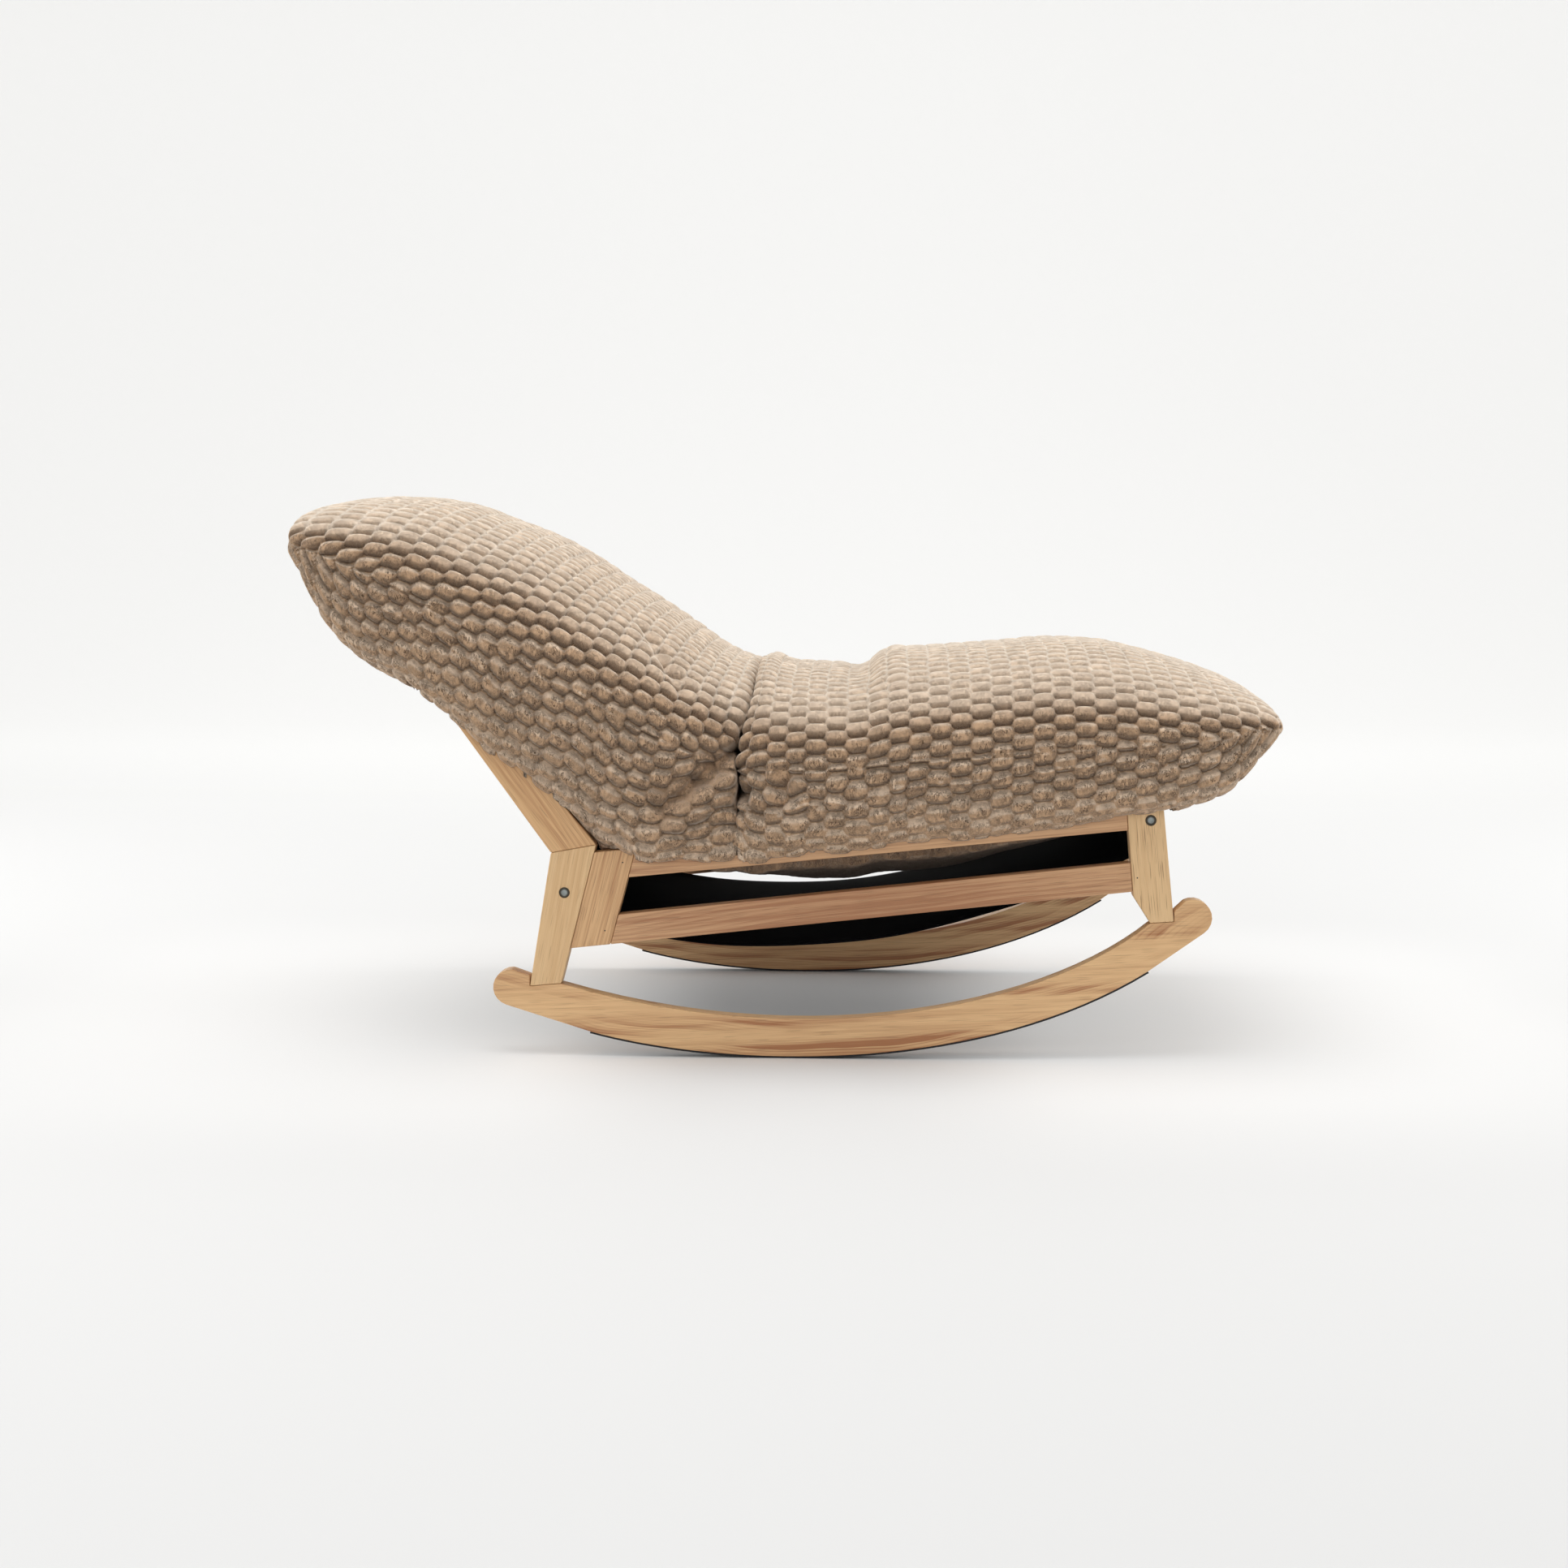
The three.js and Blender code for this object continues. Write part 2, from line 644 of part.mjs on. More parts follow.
// Cushion stations: share of the length from the crease, the heights of the crown, the side seam
// and the belly as shares of the cushion's height, the half width as a share, and the roundness
// of the belly, where 2 is an ellipse and more is boxier
const seatStationShares = [
  [0, 0.889, 0.516, 0.074, 0.92, 8],
  [0.03, 0.91, 0.516, 0.065, 0.95, 7],
  [0.08, 0.885, 0.516, 0.05, 0.976, 5.2],
  [0.14, 0.879, 0.517, 0.046, 0.994, 3.8],
  [0.21, 0.874, 0.525, 0.056, 1, 3.5],
  [0.3, 0.932, 0.546, 0.075, 1, 3.3],
  [0.4, 0.952, 0.564, 0.106, 1, 3.3],
  [0.5, 0.968, 0.58, 0.149, 1, 3.4],
  [0.6, 0.983, 0.594, 0.19, 1, 3.4],
  [0.69, 0.974, 0.603, 0.236, 1, 3.3],
  [0.77, 0.941, 0.613, 0.293, 1, 3.1],
  [0.84, 0.902, 0.631, 0.337, 0.992, 3],
  [0.895, 0.864, 0.65, 0.378, 0.977, 3],
  [0.937, 0.821, 0.666, 0.445, 0.953, 3],
  [0.968, 0.775, 0.675, 0.513, 0.925, 3],
  [0.989, 0.729, 0.675, 0.57, 0.895, 3],
  [1, 0.675, 0.675, 0.675, 0.87, 3],
];
const backStationShares = [
  [0, 0.57, 0.332, 0.048, 0.92, 8],
  [0.04, 0.589, 0.38, 0.055, 0.951, 8],
  [0.11, 0.645, 0.415, 0.056, 0.981, 8],
  [0.19, 0.706, 0.45, 0.054, 0.999, 7.4],
  [0.28, 0.764, 0.489, 0.066, 1, 5.6],
  [0.375, 0.834, 0.526, 0.12, 1, 4.4],
  [0.47, 0.889, 0.566, 0.198, 1, 4],
  [0.56, 0.928, 0.635, 0.294, 1, 4],
  [0.65, 0.967, 0.706, 0.404, 1, 4],
  [0.74, 0.983, 0.758, 0.492, 0.998, 4],
  [0.83, 0.982, 0.794, 0.551, 0.987, 4],
  [0.9, 0.974, 0.833, 0.609, 0.965, 4],
  [0.95, 0.961, 0.851, 0.683, 0.933, 4],
  [0.982, 0.945, 0.864, 0.748, 0.9, 4],
  [1, 0.876, 0.876, 0.876, 0.866, 4],
];
const crownRoundness = 3;
const sideSeamReachShare = 0.02; // how far the seam's pull spreads up and down the side
const sideSeamFullShare = 0.3; // the pull fades where the cushion is thinner than this

function cushionGeometry(stations, startX, length, height) {
  const rings = stations.map(([t, top, middle, bottom, width, bellyRoundness]) => {
    const ring = [];
    const fullness = Math.min(1, (top - bottom) / sideSeamFullShare);
    for (let i = 0; i < cushionGirthSteps; i++) {
      const angle = (2 * Math.PI * i) / cushionGirthSteps;
      const c = Math.cos(angle);
      const s = Math.sin(angle);
      const roundness = s > 0 ? crownRoundness : bellyRoundness;
      const rise = s > 0 ? top - middle : middle - bottom;
      const pull = sideSeamDepth * fullness * Math.max(0, 1 - (s * s) / sideSeamReachShare);
      const reach = width * cushionHalfWidth - pull;
      ring.push([
        startX + t * length,
        Math.sign(c) * Math.abs(c) ** (2 / crownRoundness) * reach,
        cushionBaseZ + (middle + Math.sign(s) * Math.abs(s) ** (2 / roundness) * rise) * height,
      ]);
    }
    return ring;
  });
  const positions = rings.flat(2);
  const triangles = [];
  const n = cushionGirthSteps;
  for (let r = 0; r + 1 < rings.length; r++) {
    for (let i = 0; i < n; i++) {
      const a = r * n + i;
      const b = r * n + ((i + 1) % n);
      triangles.push(a, b, b + n, a, b + n, a + n);
    }
  }
  const hub = positions.length / 3;
  const [, , middle] = stations[0];
  positions.push(startX, 0, cushionBaseZ + middle * height);
  for (let i = 0; i < n; i++) triangles.push(hub, (i + 1) % n, i);
  if (length < 0) triangles.reverse();
  const geometry = new THREE.BufferGeometry();
  geometry.setAttribute("position", new THREE.Float32BufferAttribute(positions, 3));
  geometry.setIndex(triangles);
  return geometry;
}

// Room that the cushions leave for the frame, open downwards so that they lift straight off
const room = 2 * seam;
const lift = (p, distance) => point(p.x, p.y + distance);
const railRoom = [
  lift(stileBackTop, room),
  point(frontLegFrontTop.x + room, frontLegFrontTop.y + room),
  point(frontFootFront.x + room, frontFootFront.y),
  point(stileBackTop.x - room, frontFootFront.y),
];
const frontRailTop = frontLegFrontTop.y + clothThickness + 2 * room;
const frontRailRoom = [
  point(frontLegBackTop.x, frontRailTop),
  point(frontLegFrontTop.x + room, frontRailTop),
  point(frontFootFront.x + room, frontFootFront.y),
  point(frontLegBackTop.x, frontFootFront.y),
];
const postRoom = [
  point(postFrontFoot.x + room, 0),
  point(postFrontFoot.x + room, postFrontFoot.y),
  along(postFrontTop, postAngle - Math.PI / 2, room),
  along(along(postFrontTop, postAngle - Math.PI / 2, room), postAngle, room),
  along(along(postBackTop, postAngle + Math.PI / 2, room), postAngle, room),
  point(postBackTop.x - room, 0),
];
const roomBoards = [
  board(railRoom, innerHalf - room, outerHalf + room),
  board(railRoom, -outerHalf - room, -innerHalf + room),
  board(frontRailRoom, -outerHalf - room, outerHalf + room),
  board(postRoom, -outerHalf - room, outerHalf + room),
];

const seatCushion = cushionGeometry(
  seatStationShares,
  creaseX + creaseGap / 2,
  seatCushionLength,
  cushionHeight,
);
const backCushion = cushionGeometry(
  backStationShares,
  creaseX - creaseGap / 2,
  -backCushionLength,
  backCushionHeight,
);
add(cushions, "seat_cushion", cut(seatCushion, roomBoards), plush());
add(cushions, "back_cushion", cut(backCushion, roomBoards), plush());

// Stand the lowest point of the strips on the floor
const lowest = Math.min(...floorRow.map((p) => p.y));
chair.position.z = -lowest;

export default chair;
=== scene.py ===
import math

import bmesh
import bpy
import numpy as np
from mathutils import Euler, Matrix, Vector


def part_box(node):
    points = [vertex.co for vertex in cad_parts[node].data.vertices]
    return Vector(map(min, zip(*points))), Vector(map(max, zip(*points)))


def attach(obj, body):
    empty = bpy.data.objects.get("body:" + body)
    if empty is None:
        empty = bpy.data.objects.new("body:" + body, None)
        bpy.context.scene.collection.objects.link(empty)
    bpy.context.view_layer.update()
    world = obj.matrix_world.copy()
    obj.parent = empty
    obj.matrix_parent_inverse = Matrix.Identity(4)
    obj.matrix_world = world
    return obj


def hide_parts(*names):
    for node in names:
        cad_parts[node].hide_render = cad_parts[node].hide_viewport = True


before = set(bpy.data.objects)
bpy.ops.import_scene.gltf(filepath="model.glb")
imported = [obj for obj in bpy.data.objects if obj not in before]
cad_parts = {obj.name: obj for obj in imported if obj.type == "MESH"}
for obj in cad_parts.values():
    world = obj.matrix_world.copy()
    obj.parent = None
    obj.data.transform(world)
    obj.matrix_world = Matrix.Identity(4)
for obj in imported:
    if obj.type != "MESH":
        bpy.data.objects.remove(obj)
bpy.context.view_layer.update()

scene = bpy.context.scene
mm = 0.001

print("stage and camera")

# camera: the photograph's standpoint
cameraLook = {
    "place": (0.1195, -2.915, 0.5819),
    "pitchDown": 5.512,  # degrees
    "turnLeft": 2.574,
    "lens": 51.17,
    "sensor": 36.0,
    "farClip": 60,
}
cameraData = bpy.data.cameras.new("camera")
cameraData.lens = cameraLook["lens"]
cameraData.sensor_width = cameraLook["sensor"]
cameraData.clip_end = cameraLook["farClip"]
camera = bpy.data.objects.new("camera", cameraData)
camera.location = cameraLook["place"]
camera.rotation_euler = (
    math.radians(90 - cameraLook["pitchDown"]), 0, math.radians(cameraLook["turnLeft"]),
)
scene.collection.objects.link(camera)
scene.camera = camera

# studio: a pale sheet that curves up behind the chair, and big soft lights
studio = {
    "floorColour": (0.70, 0.70, 0.697),
    "floorRoughness": 0.75,
    "floorHalf": 7,
    "floorRows": 60,
    "wallBack": 5.0,  # where the sheet starts to curve up behind the chair
    "wallCurve": 3.0,
    "wallHeight": 9,
    "worldColour": (1.0, 0.995, 0.985),
    "worldStrength": 0.64,
    "glowColour": (1, 1, 0.985),
    "wallGlow": 0.38,  # the sheet behind the chair is lit by itself
    "wallGlowReach": (0.1, 4.5),  # where that starts and is full, back from the chair
    "endGlow": 0.24,  # the same on the floor under both ends of the cushion
    "endGlowMiddle": 0.02,  # x of the line between the two ends
    "endGlowInner": (0.08, 0.34),  # where it starts and is full, out from that line
    "endGlowOuter": (1.25, 0.45),  # where it has gone and is still full
    "endGlowSide": (0.85, 0.1),  # the same toward the front and the back of the picture
    "lights": {  # place, aim, size, power
        "topLight": ((-0.3, -0.4, 3.6), (0, 0, 0.2), 3.4, 70),
        "frontLight": ((-1.2, -3.4, 1.8), (0, 0, 0.3), 2.4, 9),
        "rightLight": ((3.4, 0.6, 1.4), (0.2, 0, 0.0), 1.8, 44),
        "leftLight": ((-3.4, 0.4, 1.4), (-0.4, 0, 0.0), 2.0, 40),
    },
}


def material(name, colour=(0.5, 0.5, 0.5), roughness=0.5, metallic=0.0):
    made = bpy.data.materials.new(name)
    made.use_nodes = True
    shader = made.node_tree.nodes["Principled BSDF"]
    shader.inputs["Base Color"].default_value = (*colour, 1)
    shader.inputs["Roughness"].default_value = roughness
    shader.inputs["Metallic"].default_value = metallic
    return made, made.node_tree, shader


def node(tree, kind, inputs=None, **settings):
    made = tree.nodes.new(kind)
    for key, value in settings.items():
        setattr(made, key, value)
    for key, value in (inputs or {}).items():
        if isinstance(value, bpy.types.NodeSocket):
            tree.links.new(value, made.inputs[key])
        else:
            made.inputs[key].default_value = value
    return made


def calc(tree, operation, a, b=0.0, clamp=False):
    return node(tree, "ShaderNodeMath", {0: a, 1: b}, operation=operation, use_clamp=clamp).outputs[0]


def times(tree, a, b):
    return calc(tree, "MULTIPLY", a, b)


def plus(tree, a, b, clamp=False):
    return calc(tree, "ADD", a, b, clamp)


def minus(tree, a, b):
    return calc(tree, "SUBTRACT", a, b)


def awayFrom(tree, value, middle):
    return calc(tree, "ABSOLUTE", minus(tree, value, middle))


def blendColour(tree, amount, a, b):
    made = tree.nodes.new("ShaderNodeMix")
    made.data_type = "RGBA"
    for index, value in ((0, amount), (6, a), (7, b)):  # the factor and the two colour sockets
        if isinstance(value, bpy.types.NodeSocket):
            tree.links.new(value, made.inputs[index])
        else:
            made.inputs[index].default_value = (*value, 1) if index else value
    return made.outputs[2]


def remap(tree, value, low, high, toLow=0.0, toHigh=1.0):
    return node(
        tree, "ShaderNodeMapRange",
        {0: value, 1: low, 2: high, 3: toLow, 4: toHigh}, interpolation_type="SMOOTHSTEP",
    ).outputs[0]


def noise(tree, vector, scale, detail=2.0, roughness=0.5, distortion=0.0):
    return node(
        tree, "ShaderNodeTexNoise",
        {"Vector": vector, "Scale": scale, "Detail": detail, "Roughness": roughness,
         "Distortion": distortion},
    ).outputs[0]


def objectPlace(tree):
    return node(tree, "ShaderNodeTexCoord").outputs["Object"]


def attribute(tree, name):
    return node(tree, "ShaderNodeAttribute", attribute_name=name).outputs["Fac"]


def addBump(tree, shader, height, strength, distance):
    bump = node(tree, "ShaderNodeBump", {"Height": height, "Strength": strength, "Distance": distance})
    tree.links.new(bump.outputs[0], shader.inputs["Normal"])


floorMaterial, floorTree, floorShader = material(
    "floorPaper", studio["floorColour"], studio["floorRoughness"],
)
floorPlace = node(floorTree, "ShaderNodeSeparateXYZ", {0: objectPlace(floorTree)})
floorShader.inputs["Emission Color"].default_value = (*studio["glowColour"], 1)
wallGlow = remap(floorTree, floorPlace.outputs["Y"], *studio["wallGlowReach"], 0.0, studio["wallGlow"])
endways = awayFrom(floorTree, floorPlace.outputs["X"], studio["endGlowMiddle"])
sideways = calc(floorTree, "ABSOLUTE", floorPlace.outputs["Y"])
endGlow = times(
    floorTree, remap(floorTree, endways, *studio["endGlowInner"]),
    remap(floorTree, endways, *studio["endGlowOuter"], 0.0, studio["endGlow"]),
)
endGlow = times(floorTree, endGlow, remap(floorTree, sideways, *studio["endGlowSide"]))
floorTree.links.new(plus(floorTree, wallGlow, endGlow), floorShader.inputs["Emission Strength"])

floorForm = bmesh.new()
bmesh.ops.create_grid(floorForm, x_segments=1, y_segments=studio["floorRows"], size=1)
for vert in floorForm.verts:
    run = (vert.co.y + 1) / 2 * (studio["floorHalf"] + studio["wallBack"] + studio["wallHeight"])
    bend = run - studio["floorHalf"] - studio["wallBack"]
    turn = min(max(bend / studio["wallCurve"], 0), math.pi / 2)
    rest = max(bend - studio["wallCurve"] * math.pi / 2, 0)
    vert.co.x *= studio["floorHalf"]
    vert.co.y = min(run - studio["floorHalf"], studio["wallBack"]) + studio["wallCurve"] * math.sin(turn)
    vert.co.z = studio["wallCurve"] * (1 - math.cos(turn)) + rest
floorMesh = bpy.data.meshes.new("floor")
floorForm.to_mesh(floorMesh)
floorForm.free()
floorMesh.shade_smooth()
floorMesh.materials.append(floorMaterial)
floor = bpy.data.objects.new("floor", floorMesh)
scene.collection.objects.link(floor)

world = bpy.data.worlds.new("studioWorld")
world.use_nodes = True
worldLight = world.node_tree.nodes["Background"]
worldLight.inputs["Color"].default_value = (*studio["worldColour"], 1)
worldLight.inputs["Strength"].default_value = studio["worldStrength"]
scene.world = world
for lightName, (place, aim, size, power) in studio["lights"].items():
    lightData = bpy.data.lights.new(lightName, "AREA")
    lightData.shape = "DISK"
    lightData.size = size
    lightData.energy = power
    light = bpy.data.objects.new(lightName, lightData)
    light.location = place
    light.rotation_euler = (Vector(aim) - Vector(place)).to_track_quat("-Z", "Y").to_euler()
    scene.collection.objects.link(light)
scene.view_settings.view_transform = "Standard"

print("materials")

# wood: oiled light hardwood; every board has its own growth rings
woodLook = {
    "leg": ((0.76, 0.52, 0.275), (0.54, 0.30, 0.125)),  # light and dark of the grain
    "post": ((0.76, 0.485, 0.24), (0.44, 0.205, 0.08)),
    "stile": ((0.73, 0.465, 0.235), (0.44, 0.215, 0.09)),
    "rail": ((0.68, 0.41, 0.215), (0.37, 0.165, 0.072)),
    "runner": ((0.785, 0.51, 0.255), (0.38, 0.155, 0.058)),
    "pore": (0.26, 0.135, 0.06),
    "roughness": 0.46,
    "roughnessSpread": (-0.05, 0.1),
    "coat": 0.18,
    "coatRoughness": 0.3,
    "bumpStrength": 0.35,
    "bumpDepth": 0.4 * mm,
    "fibreHeight": 0.4,  # the pores' depth is 1
}
woodNoise = {  # per metre along and across the board, shift, detail, roughness
    "bend": (3.2, 12, 0.0, 1.5, 0.5),
    "wobble": (14, 60, 2.0, 1.0, 0.5),
    "broad": (2.4, 36, 4.0, 1.0, 0.5),
    "streak": (3.5, 170, 6.0, 3.5, 0.62),
    "fibre": (12, 800, 8.0, 2.0, 0.6),
    "pore": (26, 1250, 10.0, 0.0, 0.5),
}
woodRanges = {  # a value's start and end, then the results there where they aren't 0 and 1
    "lateStart": (0.25, 0.9),  # the dark late wood within one growth ring
    "lateEnd": (1.0, 0.93),
    "fineStart": (0.5, 0.9),
    "fineEnd": (1.0, 0.92),
    "boardEnds": (0.30, 0.42, 1.0, 0.35),
    # painted shade: middle sets where each board darkens toward its middle, under the seat
    "middle": (0.42, 0.02),
    "broad": (0.38, 0.66),
    "streak": (0.42, 0.7),
    "fibre": (0.3, 0.7),
    "pore": (0.66, 0.75),
}
woodShares = {
    "late": 0.8,
    "fine": 0.42,
    "finer": 4.3,  # fine rings in one growth ring
    "wobble": 0.35,
    "broad": 0.16,
    "fibre": 0.16,
    "poreShift": 0.06,
    "poreLeast": 0.15,
    "poreMore": 0.6,
}


def woodMaterial(name, middle, grain, alongY=False):
    light, dark = woodLook[grain["board"]]
    made, tree, shader = material(name, light, woodLook["roughness"])
    turn = Euler((0, 0, -math.pi / 2) if alongY else (0, math.radians(grain["angle"]), 0))
    place = node(
        tree, "ShaderNodeMapping",
        {"Vector": objectPlace(tree), "Rotation": turn, "Location": -(turn.to_matrix() @ Vector(middle))},
    ).outputs[0]

    def layer(kind):
        # noise drawn out along the board
        along, across, shift, detail, roughness = woodNoise[kind]
        drawn = node(
            tree, "ShaderNodeMapping",
            {"Vector": place, "Scale": (along, across, across),
             "Location": (shift + grain["shift"], 0, shift)},
        ).outputs[0]
        return noise(tree, drawn, 1.0, detail, roughness)

    def cut(value, *kinds):
        parts = [remap(tree, value, *woodRanges[kind]) for kind in kinds]
        return times(tree, *parts) if len(parts) == 2 else parts[0]

    # distance from the heart of the tree, bent by slow noise, cut into growth rings
    split = node(tree, "ShaderNodeSeparateXYZ", {0: place})
    lengthways = calc(tree, "ABSOLUTE", split.outputs["X"])
    bent = minus(tree, layer("bend"), 0.5)
    rise = times(tree, minus(tree, split.outputs["X"], grain["peak"]), grain["slope"])
    across = minus(tree, split.outputs["Z"], grain["heart"])
    reach = calc(tree, "SQRT", plus(tree, times(tree, rise, rise), times(tree, across, across)))
    reach = plus(tree, reach, times(tree, bent, grain["bend"]))
    wobble = times(tree, layer("wobble"), grain["ring"] * woodShares["wobble"])
    rings = calc(tree, "FRACT", calc(tree, "DIVIDE", plus(tree, reach, wobble), grain["ring"]))
    fineRings = calc(tree, "FRACT", calc(tree, "DIVIDE", reach, grain["ring"] / woodShares["finer"]))
    late = times(tree, cut(rings, "lateStart", "lateEnd"), woodShares["late"])
    late = plus(tree, late, times(tree, cut(fineRings, "fineStart", "fineEnd"), woodShares["fine"]))
    late = times(tree, late, cut(lengthways, "boardEnds"))
    broad = cut(layer("broad"), "broad")
    fibre = cut(layer("fibre"), "fibre")
    banded = plus(tree, times(tree, late, broad), times(tree, broad, woodShares["broad"]))
    amount = times(tree, banded, grain["figure"])
    amount = plus(tree, amount, times(tree, cut(layer("streak"), "streak"), grain["streaks"]), True)
    amount = plus(tree, amount, times(tree, fibre, woodShares["fibre"]), True)
    # painted shade: darker toward the board's middle, where the seat shades it
    paintedMidShade = remap(tree, lengthways, *woodRanges["middle"], 0.0, grain["paintedMidShade"])
    amount = plus(tree, amount, paintedMidShade, True)
    poreShift = woodShares["poreShift"] * grain["pores"]
    poreMask = remap(tree, layer("pore"), *(edge - poreShift for edge in woodRanges["pore"]))
    poreAmount = times(tree, poreMask, woodShares["poreLeast"] + woodShares["poreMore"] * grain["pores"])
    colour = blendColour(tree, amount, light, dark)
    colour = blendColour(tree, poreAmount, colour, woodLook["pore"])
    tree.links.new(colour, shader.inputs["Base Color"])
    smoothest, roughest = (woodLook["roughness"] + spread for spread in woodLook["roughnessSpread"])
    tree.links.new(remap(tree, fibre, 0.0, 1.0, smoothest, roughest), shader.inputs["Roughness"])
    height = minus(tree, times(tree, fibre, woodLook["fibreHeight"]), poreMask)
    addBump(tree, shader, height, woodLook["bumpStrength"], woodLook["bumpDepth"])
    shader.inputs["Coat Weight"].default_value = woodLook["coat"]
    shader.inputs["Coat Roughness"].default_value = woodLook["coatRoughness"]
    return made


# angle in degrees; the heart's height over the board's middle; where the rings peak along it and
# how fast they fall off; ring is one growth ring in metres, and shift takes each board from another spot
usualGrain = {"peak": 0.0, "slope": 0.1, "bend": 0.02, "paintedMidShade": 0.0}
boardGrain = {
    "runner": {"board": "runner", "angle": 3, "heart": 0.25, "peak": -0.03, "slope": 0.5, "bend": 0.05,
               "ring": 0.014, "figure": 1.0, "streaks": 0.3, "pores": 0.3, "paintedMidShade": 0.1, "shift": 0.3},
    "rear_leg": {"board": "leg", "angle": 79, "heart": 0.3, "bend": 0.03, "ring": 0.02,
                 "figure": 0.25, "streaks": 0.35, "pores": 0.3, "shift": 1.7},
    "back_post": {"board": "post", "angle": 127, "heart": -0.06, "peak": -0.2, "slope": 0.22, "ring": 0.0055,
                  "figure": 0.55, "streaks": 0.5, "pores": 0.4, "paintedMidShade": 0.1, "shift": 2.9},
    "rear_stile": {"board": "stile", "angle": 76, "heart": 0.2, "ring": 0.0045,
                   "figure": 0.4, "streaks": 0.55, "pores": 0.6, "shift": 4.1},
    "upper_side_rail": {"board": "rail", "angle": 5.74, "heart": 0.12, "peak": 0.1, "slope": 0.12,
                        "ring": 0.012, "figure": 0.5, "streaks": 0.4, "pores": 0.3, "shift": 5.3},
    "lower_side_rail": {"board": "rail", "angle": 6.2, "heart": -0.09, "peak": 0.15, "slope": 0.12,
                        "bend": 0.03, "ring": 0.0055, "figure": 0.55, "streaks": 0.55, "pores": 0.6,
                        "paintedMidShade": 0.55, "shift": 6.6},
    "front_leg": {"board": "leg", "angle": 95.3, "heart": 0.25, "ring": 0.008,
                  "figure": 0.25, "streaks": 0.25, "pores": 0.85, "shift": 7.8},
    "rear_rail": {"board": "rail", "angle": 0, "heart": 0.15, "ring": 0.01,
                  "figure": 0.6, "streaks": 0.4, "pores": 0.4, "shift": 9.1},
}
woods = {}
for boardName, ownGrain in boardGrain.items():
    isCross = boardName == "rear_rail"
    low, high = (Vector(corner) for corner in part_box(boardName if isCross else "right_" + boardName))
    boardMiddle = ((low.x + high.x) / 2, 0, (low.z + high.z) / 2)
    grain = {**usualGrain, **ownGrain}
    woods[boardName] = woodMaterial(boardName + "Wood", boardMiddle, grain, isCross)
crossWood = woods["rear_rail"]

# steel, rubber, black cloth
steelLook = {
    "dark": (0.085, 0.075, 0.06),
    "glint": (0.36, 0.39, 0.38),
    "roughness": 0.36,
    "wear": 900,  # noise per metre
    "wearRange": (0.3, 0.7, 0.3, 0.44),
}
steel, steelTree, steelShader = material("darkSteel", steelLook["dark"], steelLook["roughness"], 1.0)
steelWear = noise(steelTree, objectPlace(steelTree), steelLook["wear"])
steelTree.links.new(remap(steelTree, steelWear, *steelLook["wearRange"]), steelShader.inputs["Roughness"])
# painted glint: the bolts' dish and socket take a paler steel colour, where they catch the light
steelColour = blendColour(steelTree, attribute(steelTree, "paintedGlint"), steelLook["dark"], steelLook["glint"])
steelTree.links.new(steelColour, steelShader.inputs["Base Color"])

rubberLook = {
    "colour": (0.018, 0.018, 0.02),
    "roughness": 0.8,
    "grain": 1400,  # noise per metre
    "bumpStrength": 0.4,
    "bumpDepth": 0.3 * mm,
}
rubber, rubberTree, rubberShader = material("stripRubber", rubberLook["colour"], rubberLook["roughness"])
rubberGrain = noise(rubberTree, objectPlace(rubberTree), rubberLook["grain"], 1)
addBump(rubberTree, rubberShader, rubberGrain, rubberLook["bumpStrength"], rubberLook["bumpDepth"])

clothLook = {
    "colour": (0.0065, 0.0065, 0.0085),
    "threadLow": (0.0022, 0.0022, 0.003),
    "threadHigh": (0.005, 0.005, 0.0065),
    "thread": 1.1 * mm,
    "waveShare": 0.314,  # the wave texture's scale for one thread
    "roughness": 0.92,
    "specular": 0.08,
    "bumpStrength": 0.5,
    "bumpDepth": 0.4 * mm,
}
cloth, clothTree, clothShader = material("blackCloth", clothLook["colour"], clothLook["roughness"])
clothMap = node(clothTree, "ShaderNodeUVMap", uv_map="clothUV").outputs[0]
warp, weft = (
    node(
        clothTree, "ShaderNodeTexWave",
        {"Vector": clothMap, "Scale": clothLook["waveShare"] / clothLook["thread"]}, bands_direction=axis,
    ).outputs[1]
    for axis in ("X", "Y")
)
weave = times(clothTree, warp, weft)
addBump(clothTree, clothShader, weave, clothLook["bumpStrength"], clothLook["bumpDepth"])
clothShader.inputs["Specular IOR Level"].default_value = clothLook["specular"]
clothColour = blendColour(clothTree, weave, clothLook["threadLow"], clothLook["threadHigh"])
clothTree.links.new(clothColour, clothShader.inputs["Base Color"])

